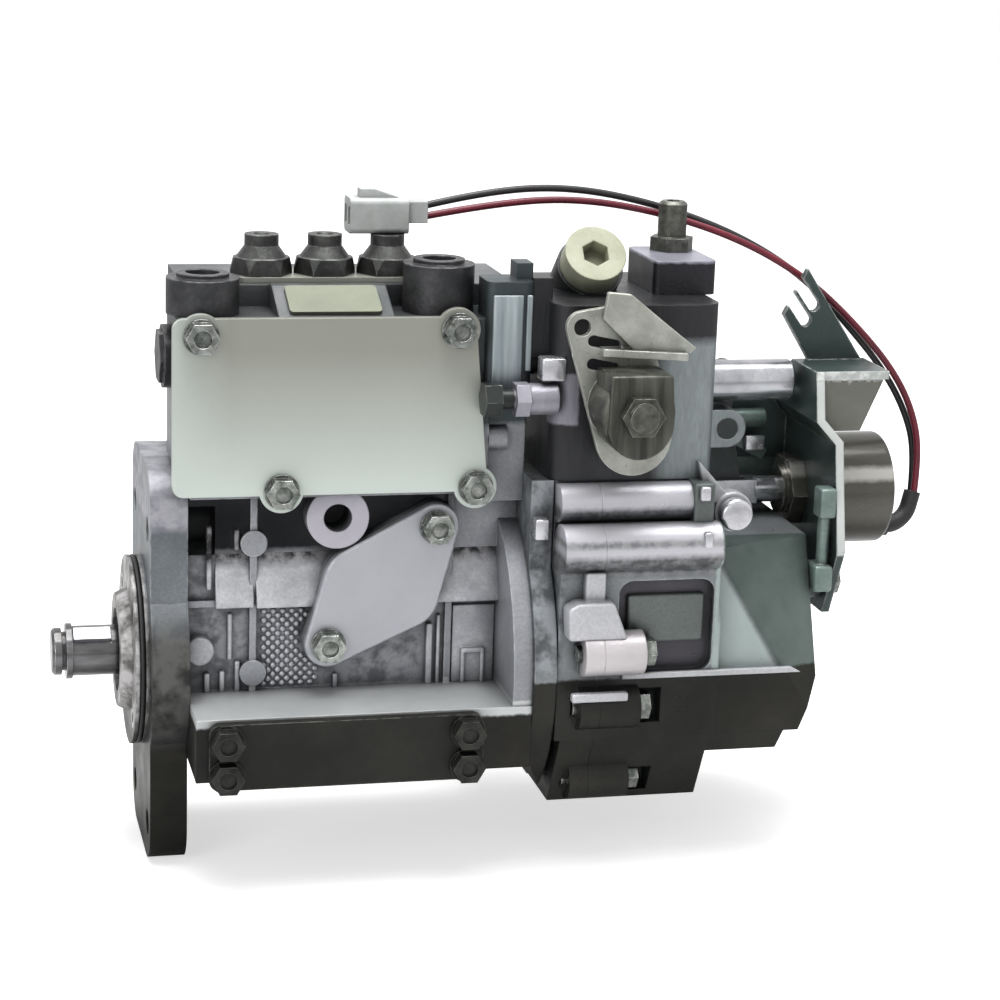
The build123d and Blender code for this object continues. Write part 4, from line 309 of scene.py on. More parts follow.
# ---- Finishes ----
cast_body = surface(
    "cast_body_skin", (0.30, 0.31, 0.33), (0.46, 0.47, 0.505), metallic=0.42, rough=(0.28, 0.46), gloss=0.2,
    fine=2600.0, wear_and_glint=(0.82, 0.82, 0.86), corner_shade=0.9, corner_shade_reach=0.010,
    zones=(
        # lower wall
        zone(
            (0.15, 0.155, 0.165), (0.35, 0.355, 0.38), ("Y", -27.3, 0.0, 0.3), ("Z", -8.0, 42.0, 0.6),
            ("X", -FAR, 97.0, 1.0), mottle=170.0,
        ),
        # wall right of the oval cover
        zone(
            (0.34, 0.345, 0.37), (0.58, 0.59, 0.61), ("Y", -27.3, 0.0, 0.3), ("Z", -8.0, 22.0, 0.6),
            ("X", 104.0, FAR, 1.0), mottle=150.0,
        ),
        # painted shadow in the hollow under the side cover
        zone(
            (0.002, 0.003, 0.004), (0.009, 0.010, 0.012), ("Y", -27.3, 0.0, 0.3), ("Z", 42.0, 66.0, 1.6),
            ("X", -FAR, 102.0, 2.0),
        ),
        # top deck
        zone((0.045, 0.050, 0.052), (0.15, 0.155, 0.16), ("Y", -36.5, FAR, 0.5), ("Z", 119.0, FAR, 1.5)),
        # oil boss
        zone(
            (0.48, 0.46, 0.52), (0.60, 0.58, 0.64), ("Y", -36.0, -31.5, 0.4), ("Z", 42.0, 68.0, 0.6),
            ("X", 52.0, 77.0, 0.6),
        ),
        # painted light on the ledge over the sump cover, as if lit from above
        zone((0.60, 0.62, 0.62), (0.74, 0.76, 0.76), ("Y", -FAR, -27.0, 0.4), ("Z", -11.2, -6.5, 0.3)),
        # base: painted shade, dark towards the bottom
        zone((0.014, 0.014, 0.012), (0.032, 0.031, 0.027), ("Z", -FAR, -11.6, 0.4)),
        # box beside the side cover
        zone(
            (0.050, 0.064, 0.068), (0.085, 0.105, 0.110), ("X", 112.0, FAR, 0.6), ("Z", 88.0, FAR, 1.0),
            ("Y", -FAR, -12.0, 1.0),
        ),
    ),
)
cast_governor = surface(
    "cast_governor_skin", (0.25, 0.275, 0.285), (0.36, 0.385, 0.40), metallic=0.42, rough=(0.26, 0.44),
    gloss=0.3, fine=2600.0, wear_and_glint=(0.70, 0.72, 0.74), corner_shade=0.85, corner_shade_reach=0.010,
    zones=(
        # housing beside the body
        zone(
            (0.11, 0.12, 0.125), (0.36, 0.38, 0.40), ("X", 130.0, 141.0, 1.5), ("Z", 4.0, 90.0, 6.0),
            ("Y", -FAR, 0.0, 2.0), mottle=120.0,
        ),
        # painted highlight on the two front tubes
        zone(
            (0.56, 0.56, 0.60), (0.72, 0.71, 0.76), ("Y", -FAR, -46.2, 0.5), ("Z", 38.5, 71.0, 0.8),
            ("X", 138.0, 200.0, 0.6),
        ),
        # shade between the tubes
        zone(
            (0.10, 0.105, 0.11), (0.22, 0.225, 0.24), ("Y", -FAR, -46.2, 0.5), ("Z", 57.4, 61.6, 1.2),
            ("X", 138.0, 200.0, 0.6), mottle=260.0,
        ),
        # painted shade: dull band along the lower tube
        zone(
            (0.26, 0.265, 0.28), (0.42, 0.425, 0.44), ("Y", -FAR, -46.2, 0.5), ("Z", 49.6, 51.8, 0.7),
            ("X", 138.0, 200.0, 0.6), mottle=260.0,
        ),
        # painted shade on the underside of the lower tube
        zone(
            (0.105, 0.11, 0.115), (0.24, 0.245, 0.255), ("Y", -FAR, -46.2, 0.5), ("Z", 38.0, 46.2, 1.4),
            ("X", 138.0, 200.0, 0.6), mottle=260.0,
        ),
        # painted shade in the recess
        zone(
            (0.060, 0.056, 0.066), (0.12, 0.11, 0.13), ("Y", -56.5, -50.0, 0.3), ("Z", 0.5, 37.5, 0.5),
            ("X", 160.0, 197.0, 0.5),
        ),
        # lit facet of the slope
        zone(
            (0.40, 0.47, 0.455), (0.52, 0.60, 0.58), ("X", 196.4, FAR, 0.4), ("Y", -FAR, -36.0, 1.0),
            ((1.713, 0.0, 1.0), -FAR, 381.0, 1.2),
        ),
        # painted shade on the upper facet of the slope
        zone(
            (0.085, 0.115, 0.105), (0.17, 0.205, 0.195), ("X", 196.4, FAR, 0.4), ("Y", -FAR, -30.0, 1.0),
            ((1.713, 0.0, 1.0), 383.0, FAR, 1.2),
        ),
        # keel: painted shade underneath
        zone((0.014, 0.014, 0.012), (0.034, 0.033, 0.028), ("Z", -FAR, 0.4, 0.5)),
        # lug in front of the recess
        zone((0.58, 0.545, 0.56), (0.74, 0.70, 0.72), ("Y", -FAR, -60.4, 0.3), ("Z", 2.6, 21.0, 0.4)),
    ),
)
cast_flange = surface(
    "cast_flange_skin", (0.15, 0.165, 0.18), (0.26, 0.28, 0.30), metallic=0.45, rough=(0.30, 0.48),
    gloss=0.2, fine=2600.0, wear_and_glint=(0.62, 0.64, 0.68),
    zones=(
        # painted light on the top end, which faces up
        zone((0.25, 0.255, 0.285), (0.43, 0.43, 0.465), ("Z", 52.0, FAR, 1.5), mottle=120.0),
        # painted shade on the middle
        zone((0.032, 0.032, 0.031), (0.12, 0.12, 0.115), ("Z", -26.0, 20.0, 8.0), mottle=90.0),
        # drive side and pilot
        zone(
            (0.14, 0.135, 0.13), (0.56, 0.55, 0.55), ("X", -FAR, -0.5, 0.3), ("Z", -24.0, FAR, 10.0),
            mottle=130.0,
        ),
        # painted shade on the foot
        zone((0.012, 0.012, 0.010), (0.030, 0.029, 0.024), ("Z", -FAR, -20.0, 8.0)),
    ),
)
case_skin = surface(
    "upper_case_skin", (0.24, 0.275, 0.285), (0.40, 0.445, 0.455), metallic=0.42, rough=(0.28, 0.44),
    fine=2600.0, blotch=60.0, stretch=(1.0, 1.0, 0.18), wear_and_glint=(0.5, 0.52, 0.54), corner_shade=0.8,
    zones=(
        # left part
        zone((0.018, 0.018, 0.020), (0.040, 0.041, 0.046), ("X", -FAR, 176.0, 3.0)),
        # top
        zone((0.018, 0.018, 0.020), (0.038, 0.038, 0.042), ("Z", 119.0, FAR, 2.0)),
        # lug of the load screw
        zone(
            (0.24, 0.23, 0.27), (0.36, 0.35, 0.39), ("X", -FAR, 146.0, 0.5), ("Z", 90.0, 108.0, 0.5),
            ("Y", -FAR, -40.0, 0.5),
        ),
    ),
)
block_skin = surface(
    "top_block_skin", (0.018, 0.018, 0.022), (0.038, 0.038, 0.046), metallic=0.45, rough=(0.28, 0.42),
    wear_and_glint=(0.4, 0.4, 0.45), corner_shade=0.5,
    zones=(
        # painted highlight on the top face
        zone((0.28, 0.28, 0.34), (0.38, 0.38, 0.45), ("Z", 143.2, FAR, 0.4)),
    ),
)
sump_skin = surface(
    "sump_cover_skin", (0.014, 0.015, 0.012), (0.028, 0.029, 0.024), metallic=0.2, rough=(0.36, 0.5),
    gloss=0.25, round_edges=0.6, grain=(1100.0, 0.12, 0.2), blotch=20.0, wear_and_glint=(0.26, 0.26, 0.24), corner_shade=0.4,
)
zinc = surface(
    "zinc_plate_skin", (0.66, 0.73, 0.68), (0.71, 0.78, 0.73), metallic=0.3, rough=(0.30, 0.34),
    round_edges=0.5, grain=(1500.0, 0.04, 0.06), blotch=5.0, corner_shade=0.35, corner_shade_reach=0.004,
    zones=(
        # painted reflection: darker, warmer upper right
        zone((0.33, 0.335, 0.295), (0.38, 0.385, 0.335), ("Z", 92.0, FAR, 24.0), ("X", 12.0, FAR, 14.0)),
    ),
)
oval_skin = surface(
    "oval_cover_skin", (0.40, 0.41, 0.445), (0.50, 0.51, 0.55), metallic=0.4, rough=(0.26, 0.38),
    round_edges=0.9, grain=(1500.0, 0.05, 0.08), blotch=12.0, wear_and_glint=(0.85, 0.86, 0.88), corner_shade=0.4,
    corner_shade_reach=0.004,
)
zinc_bolt = surface(
    "zinc_bolt_skin", (0.12, 0.135, 0.12), (0.50, 0.52, 0.49), metallic=0.9, rough=(0.14, 0.30),
    round_edges=0.35, grain=(1200.0, 0.10, 0.35), blotch=260.0, wear_and_glint=(0.92, 0.92, 0.92), corner_shade=0.95,
    corner_shade_reach=0.006,
)
small_bolt = surface(
    "small_bolt_skin", (0.012, 0.013, 0.011), (0.045, 0.045, 0.040), metallic=0.5, rough=(0.26, 0.42),
    gloss=0.3, round_edges=0.4, grain=(1200.0, 0.10, 0.2), blotch=160.0, wear_and_glint=(0.14, 0.14, 0.13), corner_shade=0.8,
    corner_shade_reach=0.004,
)
machined = surface(
    "machined_skin", (0.34, 0.345, 0.37), (0.60, 0.61, 0.64), metallic=0.85, rough=(0.14, 0.28),
    round_edges=0.4, grain=(1600.0, 0.08, 0.12), blotch=60.0, wear_and_glint=(0.9, 0.9, 0.93), corner_shade=0.7,
    corner_shade_reach=0.004,
)
shaft_steel = surface(
    "shaft_end_skin", (0.065, 0.063, 0.060), (0.24, 0.24, 0.25), metallic=0.8, rough=(0.10, 0.24),
    round_edges=0.4, grain=(1600.0, 0.06, 0.10), blotch=90.0, stretch=(0.25, 1.0, 1.0),
    wear_and_glint=(0.9, 0.9, 0.93), corner_shade=0.8, corner_shade_reach=0.006,
)
black_steel = surface(
    "black_steel_skin", (0.018, 0.018, 0.019), (0.042, 0.041, 0.044), metallic=0.5, rough=(0.26, 0.44),
    round_edges=0.6, grain=(800.0, 0.2, 0.3), blotch=60.0, wear_and_glint=(0.26, 0.25, 0.27), corner_shade=0.5,
)
holder_skin = surface(
    "valve_holder_skin", (0.030, 0.032, 0.030), (0.085, 0.088, 0.084), metallic=0.5, rough=(0.3, 0.5),
    round_edges=0.6, grain=(800.0, 0.3, 0.4), blotch=150.0, wear_and_glint=(0.36, 0.37, 0.36), corner_shade=0.7,
)
post_steel = surface(
    "post_skin", (0.060, 0.062, 0.052), (0.17, 0.17, 0.15), metallic=0.7, rough=(0.28, 0.44),
    round_edges=0.4, grain=(900.0, 0.15, 0.3), blotch=200.0, wear_and_glint=(0.5, 0.5, 0.46), corner_shade=0.6,
)
eye_steel = surface(
    "phosphated_eye_skin", (0.030, 0.031, 0.033), (0.075, 0.075, 0.080), metallic=0.45, rough=(0.34, 0.5),
    round_edges=0.8, grain=(700.0, 0.3, 0.35), blotch=110.0, wear_and_glint=(0.34, 0.34, 0.36), corner_shade=0.7,
)
painted = surface(
    "painted_sheet_skin", (0.038, 0.058, 0.055), (0.075, 0.105, 0.100), metallic=0.35, rough=(0.28, 0.44),
    gloss=0.35, coat=0.2, round_edges=0.9, grain=(900.0, 0.14, 0.2), blotch=24.0, wear_and_glint=(0.70, 0.74, 0.72),
    corner_shade=0.5,
    zones=(
        # web under the shelf
        zone(
            (0.13, 0.13, 0.11), (0.21, 0.21, 0.185), ("Z", 78.0, 100.6, 0.4), ("X", 243.4, FAR, 0.3),
            ("Y", -FAR, -26.4, 0.3),
        ),
        # painted highlight on the shelf's front edge
        zone(
            (0.56, 0.59, 0.57), (0.84, 0.86, 0.84), ("Z", 100.9, 104.6, 0.2), ("Y", -FAR, -29.6, 0.2),
            mottle=240.0,
        ),
        # painted highlight on the plate's front edge
        zone(
            (0.55, 0.59, 0.57), (0.78, 0.81, 0.79), ("Z", 38.5, 101.0, 0.5),
            ((0.0, 1.0, -0.21), -FAR, -51.2, 0.2),
        ),
    ),
)
link_skin = surface(
    "stop_link_skin", (0.030, 0.036, 0.036), (0.065, 0.075, 0.074), metallic=0.4, rough=(0.28, 0.44),
    round_edges=0.5, grain=(900.0, 0.14, 0.2), blotch=30.0, wear_and_glint=(0.45, 0.47, 0.46), corner_shade=0.5,
)
lever_skin = surface(
    "speed_lever_skin", (0.34, 0.35, 0.31), (0.55, 0.565, 0.515), metallic=0.45, rough=(0.26, 0.42),
    round_edges=0.5, grain=(1200.0, 0.10, 0.2), blotch=90.0, wear_and_glint=(0.92, 0.92, 0.88), corner_shade=0.75,
    corner_shade_reach=0.006,
    zones=(
        # hub
        zone((0.034, 0.036, 0.029), (0.15, 0.15, 0.13), ("Y", -FAR, -60.3, 0.3), ("Z", -FAR, 116.0, 1.0)),
    ),
)
load_skin = surface(
    "load_screw_skin", (0.018, 0.022, 0.020), (0.034, 0.040, 0.037), metallic=0.5, rough=(0.3, 0.44),
    round_edges=0.4, grain=(1200.0, 0.10, 0.2), blotch=60.0, wear_and_glint=(0.3, 0.32, 0.31), corner_shade=0.5,
    zones=(
        # sleeve
        zone((0.30, 0.29, 0.34), (0.42, 0.41, 0.46), ("X", 122.6, FAR, 0.3)),
    ),
)
gasket = surface(
    "gasket_skin", (0.08, 0.08, 0.075), (0.13, 0.13, 0.12), metallic=0.0, rough=(0.6, 0.8), round_edges=0.3,
    grain=(1400.0, 0.3, 0.3),
)
plate_blank = surface(
    "name_plate_skin", (0.155, 0.17, 0.12), (0.21, 0.225, 0.165), metallic=0.2, rough=(0.34, 0.48),
    round_edges=0.3, grain=(1500.0, 0.06, 0.1), blotch=30.0, corner_shade=0.5,
)
cream = surface(
    "cream_plastic_skin", (0.36, 0.37, 0.255), (0.51, 0.52, 0.39), metallic=0.0, rough=(0.40, 0.54),
    round_edges=0.8, grain=(900.0, 0.10, 0.12), blotch=60.0, corner_shade=0.7,
)
white_nylon = surface(
    "white_plastic_skin", (0.42, 0.44, 0.425), (0.60, 0.62, 0.61), metallic=0.0, rough=(0.34, 0.48),
    round_edges=0.7, grain=(900.0, 0.08, 0.1), blotch=80.0, corner_shade=0.7,
)
rubber = surface(
    "black_rubber_skin", (0.012, 0.012, 0.013), (0.026, 0.026, 0.028), metallic=0.0, rough=(0.4, 0.6),
    round_edges=0.5, grain=(1200.0, 0.2, 0.3), blotch=50.0,
)
red_skin = surface(
    "red_insulation_skin", (0.11, 0.006, 0.018), (0.18, 0.012, 0.028), metallic=0.0, rough=(0.3, 0.42),
    round_edges=0.2, grain=(1500.0, 0.05, 0.1), blotch=50.0, corner_shade=0.3,
)
black_skin = surface(
    "black_insulation_skin", (0.010, 0.010, 0.011), (0.020, 0.020, 0.022), metallic=0.0, rough=(0.3, 0.42),
    round_edges=0.2, grain=(1500.0, 0.05, 0.1), blotch=50.0, corner_shade=0.3,
)
spring_steel = surface(
    "spring_steel_skin", (0.20, 0.20, 0.21), (0.34, 0.34, 0.35), metallic=1.0, rough=(0.25, 0.4),
    round_edges=0.3,
)
can_steel = surface(
    "solenoid_skin", (0.085, 0.083, 0.070), (0.17, 0.165, 0.145), metallic=0.6, rough=(0.16, 0.30),
    round_edges=0.7, grain=(1100.0, 0.1, 0.15), blotch=20.0, stretch=(0.3, 1.0, 1.0),
    wear_and_glint=(0.6, 0.58, 0.52), corner_shade=0.5,
    zones=(
        # painted highlight: bright band
        zone((0.50, 0.49, 0.45), (0.72, 0.70, 0.65), ("Z", 60.0, 64.5, 1.0), ("Y", -FAR, 0.0, 1.0)),
        # shaded underside
        zone((0.030, 0.029, 0.024), (0.06, 0.058, 0.05), ("Z", -FAR, 44.0, 3.0), ("Y", -FAR, 0.0, 1.0)),
    ),
)
# lighter copy of the cast metal: painted light on the relief that stands out from the wall
cast_relief = surface(
    "cast_relief_skin", (0.46, 0.47, 0.50), (0.74, 0.75, 0.78), metallic=0.4, rough=(0.30, 0.46), gloss=0.3,
    fine=2600.0, blotch=90.0, wear_and_glint=(0.86, 0.86, 0.9), corner_shade=0.85, corner_shade_reach=0.010,
    zones=(
        # painted shade on the dark upper edge of the scoops
        zone((0.020, 0.020, 0.022), (0.30, 0.29, 0.30), ("Z", 37.8, FAR, 2.4), mottle=260.0),
    ),
)
bead_skin = surface(
    "cast_bead_skin", (0.50, 0.51, 0.54), (0.64, 0.65, 0.69), metallic=0.4, rough=(0.28, 0.42),
    round_edges=0.2, corner_shade=0.9, corner_shade_reach=0.004,
)
# lighter copy of the cast metal: painted highlight on the governor's front relief
cast_bright = surface(
    "cast_bright_skin", (0.54, 0.55, 0.57), (0.70, 0.70, 0.74), metallic=0.4, rough=(0.30, 0.46),
    fine=2600.0, wear_and_glint=(0.90, 0.90, 0.93), corner_shade=0.85,
)
panel_skin = surface(
    "recess_panel_skin", (0.135, 0.155, 0.15), (0.20, 0.225, 0.215), metallic=0.4, rough=(0.30, 0.46),
    fine=2600.0, wear_and_glint=(0.5, 0.52, 0.52), corner_shade=0.8,
)
panel_blue = surface(
    "column_panel_skin", (0.26, 0.31, 0.33), (0.50, 0.56, 0.58), metallic=0.4, rough=(0.28, 0.42),
    round_edges=0.5, grain=(900.0, 0.15, 0.25), blotch=220.0, stretch=(1.0, 1.0, 0.06),
    wear_and_glint=(0.6, 0.64, 0.66), corner_shade=0.6,
)
bright_bolt = surface(
    "bright_bolt_skin", (0.55, 0.55, 0.58), (0.80, 0.80, 0.84), metallic=0.8, rough=(0.16, 0.30),
    round_edges=0.4, grain=(1200.0, 0.08, 0.2), blotch=120.0, wear_and_glint=(0.95, 0.95, 0.95), corner_shade=0.9,
    corner_shade_reach=0.004,
)
cup_skin = surface(
    "lever_cup_skin", (0.030, 0.032, 0.025), (0.16, 0.16, 0.135), metallic=0.5, rough=(0.24, 0.40),
    round_edges=0.6, grain=(900.0, 0.15, 0.3), blotch=130.0, stretch=(1.0, 1.0, 0.10),
    wear_and_glint=(0.66, 0.67, 0.62), corner_shade=0.6,
)
stay_skin = surface(
    "stay_skin", (0.17, 0.235, 0.215), (0.28, 0.35, 0.325), metallic=0.4, rough=(0.28, 0.44),
    round_edges=0.5, grain=(900.0, 0.14, 0.3), blotch=90.0, wear_and_glint=(0.7, 0.76, 0.73), corner_shade=0.8,
)

SLOT_SKINS = {
    "zinc_plate": zinc, "gasket": gasket, "name_plate": plate_blank, "fasteners": zinc_bolt,
    "black_steel": black_steel, "machined_steel": machined, "bearing_steel": machined,
    "spring_steel": spring_steel, "solenoid_steel": can_steel, "painted_sheet": painted,
    "cream_plastic": cream, "black_rubber": rubber, "red_insulation": red_skin,
    "black_insulation": black_skin, "white_plastic": white_nylon,
}
NODE_SKINS = {
    "pump_body": cast_body, "mounting_flange": cast_flange, "governor_housing": cast_governor,
    "governor_cover": cast_governor, "upper_case": case_skin, "top_block": block_skin,
    "oval_cover_plate": oval_skin, "sump_cover": sump_skin, "sump_cover_screws": small_bolt,
    "fuel_inlet_eye": eye_steel, "fuel_outlet_eye": eye_steel, "delivery_valve_holder_1": holder_skin,
    "delivery_valve_holder_2": holder_skin, "delivery_valve_holder_3": holder_skin,
    "overflow_valve": post_steel, "speed_lever": lever_skin, "speed_lever_shaft": post_steel,
    "stop_lever": link_skin, "torque_limiter": machined, "load_screw": load_skin, "camshaft": shaft_steel,
}


def dress(piece, material):
    piece.data.materials.clear()
    piece.data.materials.append(material)


for entry in frame["record"]["subparts"]:
    node = entry["node"]
    dress(NODES[node], NODE_SKINS.get(node) or SLOT_SKINS[entry["material_slot"]])


# ---- Leads, dressed and attached to the pump in place of the CAD leads ----
for wire, exit_at, skin, slot_name, node, carried in (
    (red_wire, red_exit, red_skin, "red_insulation", "red_lead", ["lead_connector", "lead_sleeve"]),
    (black_wire, black_exit, black_skin, "black_insulation", "black_lead", ["lead_connector"]),
):
    dress(wire, skin)
    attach(wire, "pump")
    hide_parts(node)


# ---- Tools for cast and turned details that the solids leave out ----
AXES = "XYZ"
BEVEL_STEPS = 3
SMOOTH_ANGLE = 35        # degrees: sharper edges stay sharp in the shading


def rounded(part, bevel=0.0, angle=30):
    """The part with its normals outward, and its edges over this angle in degrees rounded."""
    bmesh.ops.recalc_face_normals(part, faces=part.faces)
    if bevel:
        sharp = [e for e in part.edges if len(e.link_faces) == 2 and e.calc_face_angle(0) > radians(angle)]
        bmesh.ops.bevel(
            part, geom=sharp, offset=bevel * MM, segments=BEVEL_STEPS, profile=0.5, affect="EDGES",
        )
    return part


def prism(outline, axis, span, bevel=0.5, angle=30):
    """Closed prism along an axis. Its outline gives the other two coordinates, in X, Y, Z order."""
    part = bmesh.new()
    ends = []
    for along in span:
        ring = []
        for pair in outline:
            place = list(pair)
            place.insert(AXES.index(axis), along)
            ring.append(part.verts.new([c * MM for c in place]))
        ends.append(ring)
    low, high = ends
    part.faces.new(low)
    part.faces.new(list(reversed(high)))
    for i in range(len(low)):
        j = (i + 1) % len(low)
        part.faces.new((low[j], low[i], high[i], high[j]))
    return rounded(part, bevel, angle)


def box(x, y, z, bevel=0.5):
    return prism(((x[0], z[0]), (x[1], z[0]), (x[1], z[1]), (x[0], z[1])), "Y", y, bevel)


def rod(axis, centre, span, radius, bevel=0.4, sides=40):
    ring = [
        (centre[0] + radius * cos(2 * pi * i / sides), centre[1] + radius * sin(2 * pi * i / sides))
        for i in range(sides)
    ]
    return prism(ring, axis, span, bevel, 60)


def make_piece(name, parts, skin, body="pump"):
    """One piece made of closed parts, which rides on a body."""
    tool = bmesh.new()
    for part in parts:
        scratch = bpy.data.meshes.new("scratch")
        part.to_mesh(scratch)
        part.free()
        tool.from_mesh(scratch)
        bpy.data.meshes.remove(scratch)
    bmesh.ops.recalc_face_normals(tool, faces=tool.faces)
    mesh = bpy.data.meshes.new(name)
    tool.to_mesh(mesh)
    tool.free()
    for face in mesh.polygons:
        face.use_smooth = True
    mesh.set_sharp_from_angle(angle=radians(SMOOTH_ANGLE))
    mesh.materials.append(skin)
    piece = bpy.data.objects.new(name, mesh)
    scene.collection.objects.link(piece)
    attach(piece, body)


# ---- Cam chamber's front wall ----
WALL_Y = -26.0
SINK = 0.5               # how deep a detail reaches into what carries it
LEDGE_Z = -8.7           # just inside the ledge over the sump cover
# Scoops over the level rib: x from, x to, depth
SCOOPS = ((23.0, 36.4, 4.2), (37.2, 64.0, 5.5), (96.0, 130.6, 5.5))
SCOOP_LOW_Z = 22.7
SCOOP_CURVE_Z = 26.2
SCOOP_HIGH_Z = 41.7
SCOOP_STEPS = 8
# Upright ribs: middle x, low z, high z, width, depth
WALL_RIBS = (
    (20.8, 29.0, 52.0, 1.8, 2.2), (30.5, 43.0, 50.5, 1.8, 1.8), (20.2, LEDGE_Z, -1.5, 2.0, 2.4),
    (25.6, LEDGE_Z, -1.0, 1.8, 2.0), (31.0, LEDGE_Z, 2.5, 1.8, 2.0), (28.3, 3.0, 20.0, 1.6, 1.6),
    (99.8, LEDGE_Z, 14.0, 2.2, 2.6), (103.2, LEDGE_Z, 17.0, 1.4, 1.8), (66.0, LEDGE_Z, -3.5, 1.6, 2.0),
    (112.2, LEDGE_Z, 3.4, 1.5, 3.2), (119.4, LEDGE_Z, 3.4, 1.5, 3.2),
)


def scoop(x0, x1, deep):
    """Block with a level bottom, which curves back into the wall at its top."""
    rise = SCOOP_HIGH_Z - SCOOP_CURVE_Z
    curve = []
    for i in range(SCOOP_STEPS + 1):
        share = i / SCOOP_STEPS
        curve.append((WALL_Y - deep * (1 - share) ** 2, SCOOP_CURVE_Z + rise * share))
    back_y = WALL_Y + SINK
    outline = [(back_y, SCOOP_LOW_Z), (WALL_Y - deep, SCOOP_LOW_Z), *curve, (back_y, SCOOP_HIGH_Z)]
    return prism(outline, "X", (x0, x1), 0.35, 40)


def on_wall(x, z, deep, bevel):
    return box(x, (WALL_Y - deep, WALL_Y + SINK), z, bevel)


def front_wall_relief():
    parts = [scoop(*place) for place in SCOOPS]
    for x, z0, z1, wide, deep in WALL_RIBS:
        parts.append(on_wall((x - wide / 2, x + wide / 2), (z0, z1), deep, 0.45))
    parts += [
        on_wall((111.45, 120.15), (2.6, 4.4), 3.2, 0.6),                 # bar over the last two ribs
        on_wall((108.2, 123.9), (LEDGE_Z, 20.4), 1.4, 0.5),              # pad behind them
        rod("Y", (17.4, 7.2), (WALL_Y - 4.2, WALL_Y + SINK), 5.2, 0.8),  # round pad by the flange
    ]
    make_piece("front_wall_relief", parts, cast_relief)


BEAD_R = 1.22
BEAD_PITCH = 3.35
BEAD_ROWS = 17
BEAD_COLUMNS = 6
BEADS_LEFT_X = 40.4
BEADS_LOW_Z = -6.6
BEADS_RIGHT_X = 59.5
BEAD_SINK = 0.25         # how far a bead's middle lies behind the wall's face
OVAL_SCREW = (61.8, 9.9)
OVAL_SCREW_CLEAR = 9.6


def bead_field():
    """Round cast studs between the disc rib and the oval cover, clear of the cover's lower screw."""
    beads = []
    for row in range(BEAD_ROWS):
        z = BEADS_LOW_Z + row * BEAD_PITCH / 2
        shift = BEAD_PITCH / 2 if row % 2 else 0.0
        for column in range(BEAD_COLUMNS):
            x = BEADS_LEFT_X + shift + column * BEAD_PITCH
            by_screw = (x - OVAL_SCREW[0]) ** 2 + (z - OVAL_SCREW[1]) ** 2 < OVAL_SCREW_CLEAR ** 2
            if by_screw or x > BEADS_RIGHT_X:
                continue
            bead = bmesh.new()
            bmesh.ops.create_icosphere(bead, subdivisions=2, radius=BEAD_R * MM)
            middle = (x * MM, (WALL_Y + BEAD_SINK) * MM, z * MM)
            bmesh.ops.translate(bead, vec=middle, verts=bead.verts)
            beads.append(rounded(bead))
    make_piece("bead_field", beads, bead_skin)


# ---- Governor's front ----
GUSSET_BOSS = (203.4, 58.4)      # x and z
GUSSET = ((190.0, 77.0), (193.2, 62.5), (205.6, 60.0))
KEEL_LEDGE = ((163.0, 0.2), (163.0, 2.4), (226.0, 2.4), (230.0, 0.2))
LUG = ((141.2, 17.0), (140.6, 28.5), (144.5, 30.5), (157.2, 30.5), (162.6, 17.0))


def governor_front():
    make_piece("recess_panel", [
        box((164.8, 193.2), (-56.4, -53.6), (12.7, 30.2), 1.2),          # plate in the recess
        box((187.2, 194.6), (-57.4, -45.8), (55.6, 70.2), 0.8),          # block at the tubes' ends
    ], panel_skin)
    make_piece("governor_front_relief", [
        prism(GUSSET, "Y", (-51.5, -45.8)),
        rod("Y", GUSSET_BOSS, (-52.0, -45.5), 7.2, 0.6),
        prism(KEEL_LEDGE, "Y", (-59.3, -57.6), 0.4),
        prism(LUG, "Y", (-66.4, -57.5), 1.2),
        box((147.6, 154.8), (-62.5, -57.5), (28.0, 40.5), 0.9),          # neck over the lug
        box((143.0, 163.5), (-66.6, -63.5), (-5.4, -2.2), 0.8),          # bar on the keel
    ], cast_bright)
    make_piece("governor_front_bolts", [
        rod("Y", GUSSET_BOSS, (-57.5, -51.5), 5.9, 1.6),                 # screw head on the boss
        box((188.6, 192.2), (-60.0, -57.0), (64.6, 69.6), 0.6),          # heads at the tubes' ends
        box((189.4, 192.4), (-64.6, -61.5), (48.8, 54.4), 0.6),
        box((131.4, 136.2), (-52.0, -45.5), (50.0, 57.4), 0.6),          # head at the tubes' left end
        box((132.0, 140.5), (-50.5, -43.0), (106.0, 114.0), 0.8),        # nut over the load screw
    ], bright_bolt)


# ---- Stop linkage ----
LINK_BAR = ((204.0, 79.0), (209.0, 81.0), (238.0, 66.0), (236.0, 61.5))


def linkage():
    make_piece("bracket_stay", [
        box((240.4, 246.6), (-41.5, -33.5), (52.0, 63.0), 1.0),          # upper block
        rod("Z", (243.6, -37.5), (33.0, 53.0), 2.3, 0.3),
        box((239.4, 246.6), (-42.5, -32.0), (24.5, 34.5), 1.4),          # lower block
    ], stay_skin)
    make_piece("linkage_rods", [
        rod("X", (11.5, 88.0), (198.5, 240.0), 1.9, 0.3),
        rod("X", (11.5, 78.5), (205.0, 236.0), 3.6, 0.8),
        box((199.0, 206.0), (8.0, 15.5), (74.0, 91.0), 1.2),             # block at the upper case
        box((200.0, 246.4), (17.4, 19.4), (44.0, 63.0), 0.5),            # sheet under the bracket's arm
        prism(LINK_BAR, "Y", (11.0, 14.5), 0.8),
    ], stay_skin)
    make_piece("linkage_nuts", [
        rod("Y", (214.0, 75.0), (8.5, 14.0), 5.2, 1.2),
        box((228.0, 236.0), (8.5, 13.5), (66.0, 72.0), 0.8),
    ], bright_bolt)


